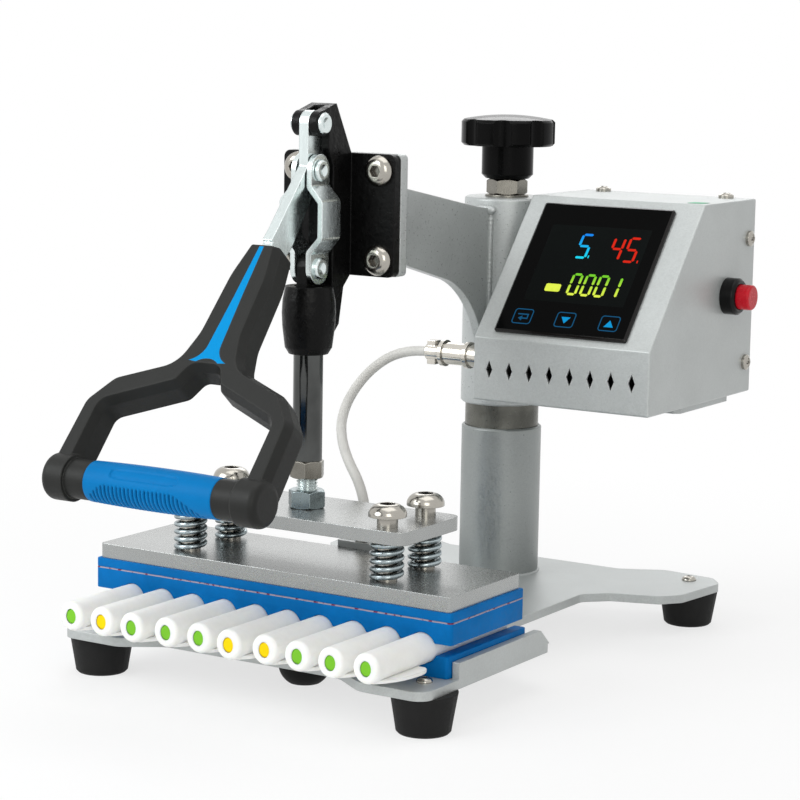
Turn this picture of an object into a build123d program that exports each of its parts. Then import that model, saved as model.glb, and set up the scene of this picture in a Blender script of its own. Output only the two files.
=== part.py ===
from build123d import *
import math
import os

# Bench press that heats ten pens at once, closed on its load.
# The origin is on the table, under the middle of the heated platen.
# +X runs right along the platen, +Y back to the post and +Z up, in millimetres.

# Clearances
running_fit = 0.05
loose_fit = 0.3
side_gap = 0.3
shaft_fit = 0.1

# Height of the head: the middle of the casting's flange and the top of the sleeve
head_z = 263.0

# Feet and base plate
foot_height = 22.0
foot_bottom_radius = 14.8
foot_top_radius = 18.25
centre_foot_radius = 15.0
centre_foot_flat_radius = 9.0
foot_screw_radius = 2.5
foot_screw_length = 14.0
foot_screw_head_radius = 4.5
foot_screw_head_height = 2.6
base_thickness = 5.0
base_half_width = 121.0
base_front_y = -68.0
front_foot_x = base_half_width - 13.0
front_foot_y = base_front_y + 21.0
rear_foot_x = base_half_width - 7.0
rear_foot_y = 258.0
base_recess_y = -52.5
base_recess_half = 58.0
base_recess_slant = 22.0
base_side_end_y = 65.0
base_shoulder = 17.0
base_neck_half = 78.0
tray_lip_thickness = 4.5
tray_lip_height = 9.0
tray_lip_front_y = -33.0
tray_lip_chamfer = 10.0

# Silicone pads and the load of pens
lower_pad_thickness = 12.0
lower_pad_front_y = -37.0
lower_pad_back_y = 47.0
pad_to_tray_gap = 0.5
pen_count = 10
pen_pitch = 21.5
pen_row_shift = 3.85
pen_radius = 4.5
wrap_radius = 8.3
wrap_length = 132.0
wrap_front_y = -94.5
wrap_front_steps = (1.5, 1.0, 0.0, 2.5, 3.0, 0.5, 3.0, 2.0, 1.0, 1.5)
wrap_rim_radius = 2.4
wrap_flap_thickness = 2.0
wrap_flap_reach = 14.0
wrap_flap_length = 42.0
pen_colours = "gygggyyggg"
axis_over_pad = 3.4
grooved_pad_thickness = 12.2
groove_side_rise = 33.0
thin_pad_thickness = 5.0
upper_pad_half_x = 119.0
upper_pad_half_y = 38.5
pad_corner_radius = 2.0

# Heated platen, springs and carrier plate
heater_half_x = 117.0
heater_half_y = 37.0
heater_thickness = 8.4
heater_corner_radius = 2.0
spring_height = 21.6
spring_outer_radius = 9.5
spring_wire_radius = 1.5
spring_turns = 4.5
carrier_half_x = 83.0
carrier_front_y = -31.0
carrier_back_y = 31.5
carrier_thickness = 7.4
carrier_corner_radius = 8.0
guide_bolt_x = 66.0
guide_bolt_y = 19.5
guide_bolt_radius = 5.7
guide_bolt_head_radius = 10.5
guide_bolt_head_height = 6.8
guide_bolt_lift = 5.8
guide_bolt_socket = 8.0

# Plunger under the toggle
lower_nut_flats = 18.0
lower_nut_height = 10.1
stud_radius = 6.0
stud_exposed = 6.8
jam_nut_flats = 16.6
jam_nut_height = 9.9
rod_radius = 8.3
tongue_half = 3.4
tongue_radius = 7.5

# Toggle linkage
lever_pivot_z = head_z + 50.8
crank_length = 25.6
link_length = 53.7
pin_radius = 4.0
pin_head_radius = 6.0
pin_head_height = 2.0
pin_dimple_radius = 3.4
pin_dimple_depth = 1.7
lever_half = 3.0
lever_eye_radius = 7.0
link_eye_radius = 9.0
link_thickness = 3.0
link_joggle = 7.5
link_flat_end = 9.3
link_slope = 8.2

# Handle
grip_axis_y = -135.6
grip_axis_z = head_z - 132.6
handle_tilt = 49.6
yoke_half_thickness = 8.5
yoke_leg_inner = 54.0
yoke_leg_outer = 68.0
yoke_top = 152.6
yoke_top_half = 9.0
yoke_stem = 130.0
yoke_stem_half = 13.6
yoke_waist = 92.0
yoke_waist_half = 15.2
yoke_fork = 73.5
yoke_fork_half = 20.5
yoke_shoulder = 60.5
yoke_shoulder_half = 54.0
yoke_leg_top = 44.0
yoke_leg_slant = 1.5
yoke_gap_top = 59.5
yoke_gap_top_half = 13.0
yoke_crotch = 70.5
yoke_crotch_half = 7.5
yoke_bevel_depth = 5.5
yoke_bevel_inset = 2.8
yoke_end_radius = 12.5
collar_radius = 10.5
grip_radius = 11.0
grip_half = 41.0
grip_core_radius = 6.0
grip_rib_count = 16
grip_rib_depth = 0.7
tang_end = 108.0
tang_half = 5.0
blade_shoulder = 2.0
inlay_depth = 1.2
inlay_top = 149.0
inlay_top_half = 1.4
inlay_middle = 116.0
inlay_middle_half = 2.5
inlay_foot = 84.0
inlay_foot_half = 4.1
inlay_fork = 74.0
inlay_fork_half = 12.0
inlay_arch = 76.0

# Head: casting, arm and sleeve
ear_half = 8.3
ear_radius = 7.0
slot_half = 3.3
slot_back_y = 9.0
web_front_y = 10.5
web_top_front_y = 5.5
head_flange_centre_z = head_z
head_flange_half_x = 37.0
head_flange_half_z = 34.0
head_flange_front_y = 28.0
head_flange_thickness = 6.0
flange_corner_radius = 4.0
flange_bolt_x = 27.0
flange_bolt_z = 24.7
flange_bolt_radius = 4.0
flange_bolt_head_radius = 8.55
flange_bolt_head_height = 5.2
flange_bolt_socket = 6.0
barrel_length = 37.5
barrel_waist_radius = 15.0
barrel_end_radius = 13.15
barrel_mouth_radius = 11.0
gusset_half = 5.0
end_plate_thickness = 6.5
end_plate_margin = 0.5
arm_half = 3.0
arm_front_top_z = head_z + 20.5
arm_front_bottom_z = head_z - 20.0
arm_knee_y = 144.0
arm_knee_z = head_z - 46.3
arm_sweep_y = 171.5
arm_sweep_z = head_z - 64.1
arm_foot_z = head_z - 89.0
weld_leg = 3.0

# Post and the height screw
post_y = 217.0
post_radius = 25.0
post_below_head = 143.0
post_top_z = head_z - post_below_head
shaft_radius = 23.0
shaft_wall = 5.0
sleeve_radius = 26.0
sleeve_length = 128.4
sleeve_bottom_z = head_z - sleeve_length
sleeve_top_z = head_z
sleeve_cap = 6.0
arm_at_sleeve_z = head_z - 7.0
lock_nut_flats = 22.0
lock_nut_height = 9.7
washer_thickness = 1.3
washer_radius = 13.5
screw_radius = 6.0
screw_length = 62.0
knob_collar_radius = 16.0
knob_collar_height = 20.3
knob_collar_gap = 0.3
knob_radius = 29.0
knob_head_height = 16.1
knob_dome = 2.8
knob_lobes = 8
knob_hollow_radius = 8.0
knob_hollow_depth = 2.6

# Control box
box_left_x = 30.7
box_right_x = 146.5
box_front_y = 128.2
box_back_y = 264.8
box_bottom_z = head_z - 114.1
box_top_z = box_bottom_z + 117.7
box_slope_bottom_z = box_bottom_z + 37.5
box_slope_top_y = 194.9
box_wall = 1.5
box_edge_radius = 1.2
vent_count = 8
vent_first_x = 41.4
vent_pitch = 13.4
vent_z = box_bottom_z + 18.7
vent_height = 11.0
vent_width = 4.4
display_left = 12.4
display_width = 86.6
display_low = 4.5
display_height = 93.5
display_thickness = 2.5
display_corner_radius = 3.0
module_margin = 4.0
module_depth = 34.0
box_screw_radius = 3.6
box_screw_head_height = 2.2
box_screw_inset = 8.0
side_screw_low_z = box_bottom_z + 18.7
side_screw_high_z = box_top_z - 23.6
top_screw_inset_x = 16.0
bracket_thickness = 6.0
bracket_left_x = 14.0
bracket_right_x = box_right_x - 9.5
bracket_front_y = 187.0
bracket_back_y = box_back_y - 7.8
button_y = 228.5
button_z = box_bottom_z + 61.6
button_radius = 7.5
button_proud = 8.0
button_travel = 3.0
bezel_radius = 11.0
bezel_height = 9.0
bezel_neck_radius = 8.8
bezel_neck_length = 16.0
bezel_nut_flats = 20.0
bezel_nut_height = 4.0
inlet_x = 60.0
inlet_z = box_bottom_z + 36.1
inlet_width = 27.0
inlet_height = 20.0
inlet_flange_width = 50.0
inlet_flange_height = 24.0
inlet_flange_thickness = 3.0
inlet_depth = 22.0
inlet_wall = 2.0
inlet_blade_length = 12.0
switch_x = 110.0
switch_width = 15.0
switch_height = 21.0
switch_rim = 2.0
switch_wall = 1.5
switch_depth = 18.0
rocker_pivot_depth = 3.0
rocker_angle = 16.0

# Heater lead
plug_y = 147.0
plug_z = box_bottom_z + 23.1
socket_flange_radius = 8.5
socket_flange_thickness = 3.0
plug_radius = 6.7
plug_ring_radius = 8.0
plug_joint_x = 15.4
plug_body_length = 15.4
plug_end_x = -12.0
cable_radius = 3.0
terminal_x = 10.7
terminal_y = 45.0
terminal_half_x = 15.0
terminal_back_y = 53.0
terminal_height = 12.0
gland_radius = 6.0
gland_height = 6.0

# Heights worked out from the sizes above
base_top = foot_height + base_thickness
lower_pad_top = base_top + lower_pad_thickness
pen_axis_z = lower_pad_top + axis_over_pad
grooved_pad_bottom = pen_axis_z + axis_over_pad
thin_pad_bottom = grooved_pad_bottom + grooved_pad_thickness
heater_bottom = thin_pad_bottom + thin_pad_thickness
heater_top = heater_bottom + heater_thickness
carrier_bottom = heater_top + spring_height
carrier_top = carrier_bottom + carrier_thickness
lower_nut_top = carrier_top + lower_nut_height
jam_nut_bottom = lower_nut_top + stud_exposed
rod_bottom = jam_nut_bottom + jam_nut_height
crank_pivot_z = lever_pivot_z - crank_length
link_pivot_z = crank_pivot_z - link_length
barrel_top = link_pivot_z - link_eye_radius - 1.0
barrel_bottom = barrel_top - barrel_length
rod_top = barrel_top - tongue_radius
link_inner = tongue_half + side_gap
link_outer = link_inner + link_thickness
groove_radius = wrap_radius + loose_fit
groove_crown_z = pen_axis_z + groove_radius
end_plate_front_y = head_flange_front_y + head_flange_thickness
end_plate_back_y = end_plate_front_y + end_plate_thickness
bracket_bottom = box_bottom_z - bracket_thickness
lock_nut_bottom = sleeve_top_z + washer_thickness
lock_nut_top = lock_nut_bottom + lock_nut_height
knob_bottom = lock_nut_top + knob_collar_gap
knob_head_bottom = knob_bottom + knob_collar_height
knob_head_top = knob_head_bottom + knob_head_height
pen_row = [pen_row_shift + pen_pitch * (i - (pen_count - 1) / 2) for i in range(pen_count)]

# Working planes of the tilted handle and the sloping display
tilt = math.radians(handle_tilt)
grip_point = (0, grip_axis_y, grip_axis_z)
up_handle = (0, math.cos(tilt), math.sin(tilt))
off_handle = (0, -math.sin(tilt), math.cos(tilt))
handle_face = Plane(origin=grip_point, x_dir=(1, 0, 0), z_dir=off_handle)
handle_side = Plane(origin=grip_point, x_dir=up_handle, z_dir=(1, 0, 0))
slope_run = box_slope_top_y - box_front_y
slope_rise = box_top_z - box_slope_bottom_z
slope_length = math.hypot(slope_run, slope_rise)
slope_out = (0, -slope_rise / slope_length, slope_run / slope_length)
slope_face = Plane(origin=(box_left_x, box_front_y, box_slope_bottom_z), x_dir=(1, 0, 0), z_dir=slope_out)


def block(x0, x1, y0, y1, z0, z1):
    """Box between two corners."""
    return Pos((x0 + x1) / 2, (y0 + y1) / 2, (z0 + z1) / 2) * Box(x1 - x0, y1 - y0, z1 - z0)


def rod_x(radius, x0, x1, y, z):
    """Round bar along X."""
    return Pos((x0 + x1) / 2, y, z) * Rot(0, 90, 0) * Cylinder(radius, x1 - x0)


def rod_y(radius, y0, y1, x, z):
    """Round bar along Y."""
    return Pos(x, (y0 + y1) / 2, z) * Rot(90, 0, 0) * Cylinder(radius, y1 - y0)


def rod_z(radius, z0, z1, x=0.0, y=0.0):
    """Round bar along Z."""
    return Pos(x, y, (z0 + z1) / 2) * Cylinder(radius, z1 - z0)


def turned(points):
    """Solid turned about Z from (radius, height) points."""
    return revolve(Plane.XZ * Polygon(*points), Axis.Z)


def rounded_outline(corners, mirrored=False):
    """Closed face through (x, y, radius) corners, with the other half mirrored in x."""
    if mirrored:
        corners = corners + [(-x, y, r) for x, y, r in reversed(corners)]
    points = [(x, y) for x, y, r in corners]
    return make_face(FilletPolyline(*points, radius=[r for x, y, r in corners], close=True))


def hex_bar(flats, height, hole=0.0):
    """Hexagon prism with bevelled corners, standing on its seat at z 0."""
    corner = flats / math.sqrt(3)
    bevel = (corner - flats / 2) * 0.9
    limits = turned([(0, 0), (corner - bevel, 0), (corner, bevel), (corner, height - bevel),
                     (corner - bevel, height), (0, height)])
    prism = extrude(RegularPolygon(flats / 2, 6, major_radius=False), height) & limits
    if hole:
        prism -= rod_z(hole, 0, height)
    return prism


def button_head(radius, height, socket):
    """Domed screw head with a hexagon socket, standing on its seat at z 0."""
    dome = make_face([
        Line((0, 0), (radius, 0)),
        Line((radius, 0), (radius, height * 0.25)),
        ThreePointArc((radius, height * 0.25), (radius * 0.8, height * 0.78), (radius * 0.45, height)),
        Line((radius * 0.45, height), (0, height)),
        Line((0, height), (0, 0)),
    ])
    head = revolve(Plane.XZ * dome, Axis.Z)
    key = Pos(0, 0, height * 0.4) * extrude(RegularPolygon(socket / 2, 6, major_radius=False), height)
    return head - key


def both_sides(solid):
    """The solid and its mirror image in the middle plane."""
    return [solid, mirror(solid, Plane.YZ)]


def write(name, *solids):
    """Write one sub-part, as one solid or as a group of separate solids."""
    shape = solids[0] if len(solids) == 1 else Compound(children=list(solids))
    shape.label = name
    export_step(shape, f"parts/{name}.step")


def base_plate():
    """Flat plate with two rear lobes and lips beside the lower pad."""
    lobe_x = base_recess_half + base_recess_slant
    outline = rounded_outline([
        (base_recess_half, base_recess_y, 14),
        (lobe_x, base_front_y, 14),
        (base_half_width, base_front_y, 9),
        (base_half_width, base_side_end_y, 4),
        (base_neck_half, base_side_end_y + base_shoulder, 6),
        (base_neck_half, rear_foot_y - 75, 8),
        (rear_foot_x - 23, rear_foot_y - 62, 6),
        (rear_foot_x + 6, rear_foot_y - 52, 8),
        (rear_foot_x + 15, rear_foot_y - 40, 8),
        (rear_foot_x + 20, rear_foot_y + 2, 8),
        (rear_foot_x + 10, rear_foot_y + 14, 7),
        (rear_foot_x - 25, rear_foot_y + 17.5, 8),
        (rear_foot_x - 51.4, rear_foot_y + 3.5, 8),
    ], mirrored=True)
    plate = Pos(0, 0, foot_height) * extrude(outline, base_thickness)
    lip_top = base_top + tray_lip_height
    lip_side = Polygon(
        (tray_lip_front_y, base_top),
        (base_side_end_y, base_top),
        (base_side_end_y - tray_lip_chamfer, lip_top),
        (tray_lip_front_y, lip_top),
    )
    lip = Pos(base_half_width - tray_lip_thickness, 0, 0) * extrude(Plane.YZ * lip_side, tray_lip_thickness)
    plate = plate + lip + mirror(lip, Plane.YZ)
    for x, y in foot_places():
        plate -= rod_z(foot_screw_radius, foot_height, base_top, x, y)
    return plate


def foot_places():
    """Centres of the four corner feet."""
    return [(side * x, y) for x, y in ((front_foot_x, front_foot_y), (rear_foot_x, rear_foot_y))
            for side in (-1, 1)]


def rubber_foot():
    """Tapered foot with a hole for its screw."""
    edge = 1.2
    body = turned([(0, 0), (foot_bottom_radius - edge, 0), (foot_bottom_radius, edge),
                   (foot_top_radius, foot_height), (0, foot_height)])
    return body - rod_z(foot_screw_radius, foot_height - foot_screw_length, foot_height)


def centre_foot():
    """Round bumper under the middle of the bed, with a flat face on the table."""
    side_start = foot_height / 2
    side = make_face([
        Line((0, 0), (centre_foot_flat_radius, 0)),
        TangentArc((centre_foot_radius, side_start), (centre_foot_flat_radius, 0), tangent=(0, -1)),
        Line((centre_foot_radius, side_start), (centre_foot_radius, foot_height)),
        Line((centre_foot_radius, foot_height), (0, foot_height)),
        Line((0, foot_height), (0, 0)),
    ])
    return revolve(Plane.XZ * side, Axis.Z)


def foot_screw():
    """Round-headed screw that holds a foot, seated at the top of the base plate."""
    shank = rod_z(foot_screw_radius, foot_height - foot_screw_length - base_top, 0)
    return button_head(foot_screw_head_radius, foot_screw_head_height, 3.0) + shank


def pad(half_x, front_y, back_y, bottom, thickness):
    """Flat silicone pad with rounded upright corners."""
    sheet = RectangleRounded(2 * half_x, back_y - front_y, pad_corner_radius)
    return Pos(0, (front_y + back_y) / 2, bottom) * extrude(sheet, thickness)


def grooves(front_y, back_y):
    """Round bars that cut the pens' grooves."""
    return [rod_y(groove_radius, front_y - 1, back_y + 1, x, pen_axis_z) for x in pen_row]


def lower_pad():
    """Grooved pad on the base plate, between its lips."""
    half_x = base_half_width - tray_lip_thickness - pad_to_tray_gap
    bed = pad(half_x, lower_pad_front_y, lower_pad_back_y, base_top, lower_pad_thickness)
    return bed - grooves(lower_pad_front_y, lower_pad_back_y)


def flat_sided_grooves(front_y, back_y):
    """Flat-sided bars that cut the upper grooves, each side and crown just clear of a wrap."""
    rise = math.radians(groove_side_rise)
    foot = grooved_pad_bottom - pen_axis_z
    foot_half = (groove_radius - foot * math.sin(rise)) / math.cos(rise)
    crown_half = groove_radius * (1 - math.sin(rise)) / math.cos(rise)
    section = Polygon(
        (-foot_half, grooved_pad_bottom),
        (foot_half, grooved_pad_bottom),
        (crown_half, groove_crown_z),
        (-crown_half, groove_crown_z),
        align=None,
    )
    bar = extrude(Plane.XZ * section, (back_y - front_y) / 2, both=True)
    return [Pos(x, (front_y + back_y) / 2, 0) * bar for x in pen_row]


def upper_pad_grooved():
    """Pad that closes over the pens: a flat sheet, and the straight ribs between its grooves."""
    sheet_thickness = grooved_pad_bottom + grooved_pad_thickness - groove_crown_z
    sheet = pad(upper_pad_half_x, -upper_pad_half_y, upper_pad_half_y, groove_crown_z, sheet_thickness)
    comb = pad(upper_pad_half_x, -upper_pad_half_y, upper_pad_half_y, grooved_pad_bottom,
               groove_crown_z - grooved_pad_bottom)
    comb -= flat_sided_grooves(-upper_pad_half_y, upper_pad_half_y)
    return [sheet, *comb.solids()]


def pen_wrap():
    """Thick sleeve round a pen, with its loose tail flat on the right, front end at y 0."""
    inner = pen_radius + shaft_fit
    side = make_face([
        Line((inner, 0), (wrap_radius - wrap_rim_radius, 0)),
        RadiusArc((wrap_radius - wrap_rim_radius, 0), (wrap_radius, wrap_rim_radius), -wrap_rim_radius),
        Line((wrap_radius, wrap_rim_radius), (wrap_radius, wrap_length)),
        Line((wrap_radius, wrap_length), (inner, wrap_length)),
        Line((inner, wrap_length), (inner, 0)),
    ])
    tube = Rot(-90, 0, 0) * revolve(Plane.XZ * side, Axis.Z)
    tail = make_face([
        Line((0, 1.5), (0, wrap_flap_length)),
        Line((0, wrap_flap_length), (wrap_flap_reach - 4, wrap_flap_length)),
        ThreePointArc((wrap_flap_reach - 4, wrap_flap_length), (wrap_flap_reach, wrap_flap_length - 7),
                      (wrap_flap_reach - 1, wrap_flap_length - 17)),
        ThreePointArc((wrap_flap_reach - 1, wrap_flap_length - 17), (wrap_flap_reach * 0.6, 10), (0, 1.5)),
    ])
    tail = Pos(0, 0, -wrap_radius) * extrude(tail, wrap_flap_thickness)
    core = rod_y(inner, 0, wrap_length, 0, 0)
    return tube + tail - core


def pen():
    """Round pen with a domed front end just inside the wrap, front at y 0."""
    body = rod_y(pen_radius, 0.6, wrap_length - 2, 0, 0)
    return fillet(body.edges().sort_by(Axis.Y)[0], pen_radius * 0.35)


def pen_load():
    """Wraps and pens laid out along the row, in two pen colours."""
    wraps = []
    green = []
    yellow = []
    for i, x in enumerate(pen_row):
        place = Pos(x, wrap_front_y + wrap_front_steps[i % len(wrap_front_steps)], pen_axis_z)
        wraps.append(place * pen_wrap())
        (yellow if pen_colours[i % len(pen_colours)] == "y" else green).append(place * pen())
    return wraps, green, yellow


def heater_plate():
    """Thick heated plate, tapped for the four guide bolts."""
    sheet = RectangleRounded(2 * heater_half_x, 2 * heater_half_y, heater_corner_radius)
    plate = Pos(0, 0, heater_bottom) * extrude(sheet, heater_thickness)
    for x, y in guide_places():
        plate -= rod_z(guide_bolt_radius, heater_bottom + 1.5, heater_top, x, y)
    return plate


def guide_places():
    """Centres of the four guide bolts and their springs."""
    return [(sx * guide_bolt_x, sy * guide_bolt_y) for sx in (-1, 1) for sy in (-1, 1)]


def guide_bolt():
    """Bolt from the heater plate up through the spring, its head standing over the carrier."""
    seat = carrier_top + guide_bolt_lift
    head = Pos(0, 0, seat) * button_head(guide_bolt_head_radius, guide_bolt_head_height, guide_bolt_socket)
    return head + rod_z(guide_bolt_radius, heater_bottom + 1.5, seat)


def carrier_plate():
    """Plate that the plunger pushes, free to slide on the guide bolts."""
    middle_y = (carrier_front_y + carrier_back_y) / 2
    sheet = RectangleRounded(2 * carrier_half_x, carrier_back_y - carrier_front_y, carrier_corner_radius)
    plate = Pos(0, middle_y, carrier_bottom) * extrude(sheet, carrier_thickness)
    for x, y in guide_places():
        plate -= rod_z(guide_bolt_radius + running_fit, carrier_bottom, carrier_top, x, y)
    return plate - rod_z(stud_radius, carrier_bottom, carrier_top)


def spring_point(turn):
    """Point and direction on the spring's centre line, with level ends."""
    radius = spring_outer_radius - spring_wire_radius
    rise = spring_height - loose_fit - 2 * spring_wire_radius
    ramp = 0.25
    pitch = rise / (spring_turns - ramp)
    near_end = min(turn, spring_turns - turn)
    slope = pitch * min(1.0, near_end / ramp)
    climbed = pitch * (near_end ** 2 / (2 * ramp) if near_end < ramp else near_end - ramp / 2)
    height = climbed if turn <= spring_turns / 2 else rise - climbed
    angle = 2 * math.pi * turn
    point = Vector(radius * math.cos(angle), radius * math.sin(angle), height)
    way = Vector(-radius * math.sin(angle), radius * math.cos(angle), slope / (2 * math.pi))
    return point, way.normalized()


def biarc(start, start_way, end, end_way):
    """Two tangent arcs between two points with given directions."""
    gap = end - start
    both = start_way + end_way
    turn = 2 * (1 - start_way.dot(end_way))
    across = gap.dot(both)
    reach = (math.sqrt(across ** 2 + turn * gap.dot(gap)) - across) / turn
    first = start + start_way * reach
    last = end - end_way * reach
    joint = (first + last) * 0.5
    return [TangentArc(start, joint, tangent=start_way), TangentArc(joint, end, tangent=last - first)]


def spring():
    """Compression spring as one tube along half-turn biarcs, standing over the heater plate."""
    stops = [spring_point(i / 2) for i in range(int(2 * spring_turns) + 1)]
    arcs = []
    for (start, start_way), (end, end_way) in zip(stops, stops[1:]):
        arcs += biarc(start, start_way, end, end_way)
    path = Wire([arc.edge() for arc in arcs])
    section = Plane(origin=stops[0][0], z_dir=stops[0][1]) * Circle(spring_wire_radius)
    coil = sweep(section, path=path)
    samples = [spring_point(spring_turns * i / 360)[0] for i in range(361)]
    one_turn = int(360 / spring_turns * 0.75)
    least = min((samples[i] - samples[j]).length for i in range(361) for j in range(i + one_turn, 361))
    print("spring: least gap between turns", round(least - 2 * spring_wire_radius, 2), "mm")
    return Pos(0, 0, heater_top + loose_fit + spring_wire_radius) * coil


def plunger_tongue():
    """Flat tongue on top of the rod that carries the links' lower pin."""
    outline = Pos(0, link_pivot_z) * Circle(tongue_radius)
    outline += Pos(0, (rod_top + link_pivot_z) / 2) * Rectangle(2 * tongue_radius, link_pivot_z - rod_top)
    tongue = extrude(Plane.YZ * outline, tongue_half, both=True)
    return tongue - rod_x(pin_radius, -tongue_half, tongue_half, 0, link_pivot_z)


def link_plate():
    """Right-hand joggled strap from the crank pin to the tongue pin."""
    top = crank_pivot_z + link_eye_radius
    bottom = link_pivot_z - link_eye_radius
    upper_bend = crank_pivot_z - link_flat_end
    lower_bend = link_pivot_z + link_flat_end
    shift = link_thickness * math.tan(math.atan2(link_joggle, link_slope) / 2)
    side = rounded_outline([
        (link_inner, top, 0),
        (link_outer, top, 0),
        (link_outer, upper_bend + shift, 1.5),
        (link_outer + link_joggle, upper_bend - link_slope + shift, 3.5),
        (link_outer + link_joggle, lower_bend + link_slope - shift, 3.5),
        (link_outer, lower_bend - shift, 1.5),
        (link_outer, bottom, 0),
        (link_inner, bottom, 0),
        (link_inner, lower_bend, 3.5),
        (link_inner + link_joggle, lower_bend + link_slope, 1.5),
        (link_inner + link_joggle, upper_bend - link_slope, 1.5),
        (link_inner, upper_bend, 3.5),
    ])
    strap = extrude(Plane.XZ * side, link_eye_radius, both=True)
    middle_z = (crank_pivot_z + link_pivot_z) / 2
    outline = Pos(0, middle_z) * SlotCenterToCenter(link_length, 2 * link_eye_radius, rotation=90)
    strap &= extrude(Plane.YZ * outline, link_outer + link_joggle)
    strap -= rod_x(pin_radius + running_fit, 0, link_outer + 1, 0, crank_pivot_z)
    return strap - rod_x(pin_radius, 0, link_outer + 1, 0, link_pivot_z)


def rivet_head(x, z):
    """Low riveted head that faces +X, with the hollow of the riveting tool."""
    head = rod_x(pin_head_radius, x, x + pin_head_height, 0, z)
    head = chamfer(head.edges().sort_by(Axis.X)[-1], pin_head_height * 0.45)
    hollow = turned([(0, -pin_dimple_depth), (pin_dimple_radius, 0), (0, 0)])
    return head - Pos(x + pin_head_height, 0, z) * Rot(0, 90, 0) * hollow


def link_stud():
    """Right-hand half of the lower pin, with its riveted head."""
    return rivet_head(link_outer, link_pivot_z) + rod_x(pin_radius, link_inner, link_outer, 0, link_pivot_z)


def riveted_pin(half_length, z):
    """Pin along X with a riveted head on each end."""
    pin = rod_x(pin_radius, -half_length, half_length, 0, z)
    head = rivet_head(half_length, z)
    return pin + head + mirror(head, Plane.YZ)


def handle_place(z):
    """Place of a pivot at y 0 along and off the handle's own axes."""
    dy = -grip_axis_y
    dz = z - grip_axis_z
    return dy * up_handle[1] + dz * up_handle[2], dy * off_handle[1] + dz * off_handle[2]


def lever_plate():
    """Plate crank that turns on the ears and carries the handle on its tang."""
    crank = Pos(0, (lever_pivot_z + crank_pivot_z) / 2) * SlotCenterToCenter(
        crank_length, 2 * lever_eye_radius, rotation=90)
    along, off = handle_place(crank_pivot_z)
    shoulder = yoke_top + blade_shoulder
    blade = Polygon(
        (along, off + lever_eye_radius),
        (along, off - lever_eye_radius),
        (shoulder + 8, -11.2),
        (shoulder, -10.0),
        (shoulder, -tang_half),
        (tang_end, -tang_half),
        (tang_end, tang_half),
        (shoulder, tang_half),
        (shoulder, 6.8),
        (shoulder + 8, 6.3),
    )
    plate = extrude(Plane.YZ * crank, lever_half, both=True)
    plate += extrude(handle_side * blade, lever_half, both=True)
    plate -= rod_x(pin_radius + running_fit, -lever_half, lever_half, 0, lever_pivot_z)
    return plate - rod_x(pin_radius, -lever_half, lever_half, 0, crank_pivot_z)


def tang_pocket():
    """Pocket in the top of the yoke that the lever's tang fills."""
    outline = Pos((tang_end + yoke_top) / 2, 0) * Rectangle(yoke_top - tang_end, 2 * tang_half)
    return extrude(handle_side * outline, lever_half, both=True)


def handle_yoke():
    """Moulded fork: a stem that opens into two legs round the grip."""
    outline = rounded_outline([
        (yoke_top_half, yoke_top, 4),
        (yoke_stem_half, yoke_stem, 60),
        (yoke_waist_half, yoke_waist, 30),
        (yoke_fork_half, yoke_fork, 14),
        (yoke_shoulder_half, yoke_shoulder, 12),
        (yoke_leg_outer - yoke_leg_slant, yoke_leg_top, 12),
        (yoke_leg_outer, 0.0, 0),
        (yoke_leg_inner, 0.0, 0),
        (yoke_leg_inner, yoke_leg_top - 1, 6),
        (yoke_gap_top_half, yoke_gap_top, 6),
        (yoke_crotch_half, yoke_crotch, 5),
    ], mirrored=True)
    yoke = Pos(0, 0, -yoke_half_thickness) * extrude(outline, 2 * yoke_half_thickness)
    front = yoke.faces().sort_by(Axis.Z)[-1]
    yoke = handle_face * chamfer(front.outer_wire().edges(), yoke_bevel_depth, yoke_bevel_inset)
    for side in (-1, 1):
        inner = side * yoke_leg_inner
        outer = side * (yoke_leg_outer + 0.5)
        end = rod_x(yoke_end_radius, min(inner, outer), max(inner, outer), grip_axis_y, grip_axis_z)
        end = fillet(end.edges().filter_by(GeomType.CIRCLE).sort_by(Axis.X)[-1 if side > 0 else 0], 4)
        start = side * grip_half
        collar = rod_x(collar_radius, min(start, inner), max(start, inner), grip_axis_y, grip_axis_z)
        yoke += end + collar
    core = rod_x(grip_core_radius, -yoke_leg_outer + 6, yoke_leg_outer - 6, grip_axis_y, grip_axis_z)
    return yoke - core - tang_pocket() - inlay()


def inlay():
    """Coloured strip let into the front of the stem, forked at its foot."""
    tip = inlay_fork_half - 5
    waist = inlay_foot_half + 2.7
    waist_height = inlay_foot - 6.5
    outline = make_face([
        Line((-inlay_top_half, inlay_top), (inlay_top_half, inlay_top)),
        Line((inlay_top_half, inlay_top), (inlay_middle_half, inlay_middle)),
        Line((inlay_middle_half, inlay_middle), (inlay_foot_half, inlay_foot)),
        ThreePointArc((inlay_foot_half, inlay_foot), (waist, waist_height), (inlay_fork_half, inlay_fork)),
        Line((inlay_fork_half, inlay_fork), (tip, inlay_fork - 0.5)),
        ThreePointArc((tip, inlay_fork - 0.5), (0, inlay_arch), (-tip, inlay_fork - 0.5)),
        Line((-tip, inlay_fork - 0.5), (-inlay_fork_half, inlay_fork)),
        ThreePointArc((-inlay_fork_half, inlay_fork), (-waist, waist_height), (-inlay_foot_half, inlay_foot)),
        Line((-inlay_foot_half, inlay_foot), (-inlay_middle_half, inlay_middle)),
        Line((-inlay_middle_half, inlay_middle), (-inlay_top_half, inlay_top)),
    ])
    return handle_face * Pos(0, 0, yoke_half_thickness - inlay_depth) * extrude(outline, inlay_depth)


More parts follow.
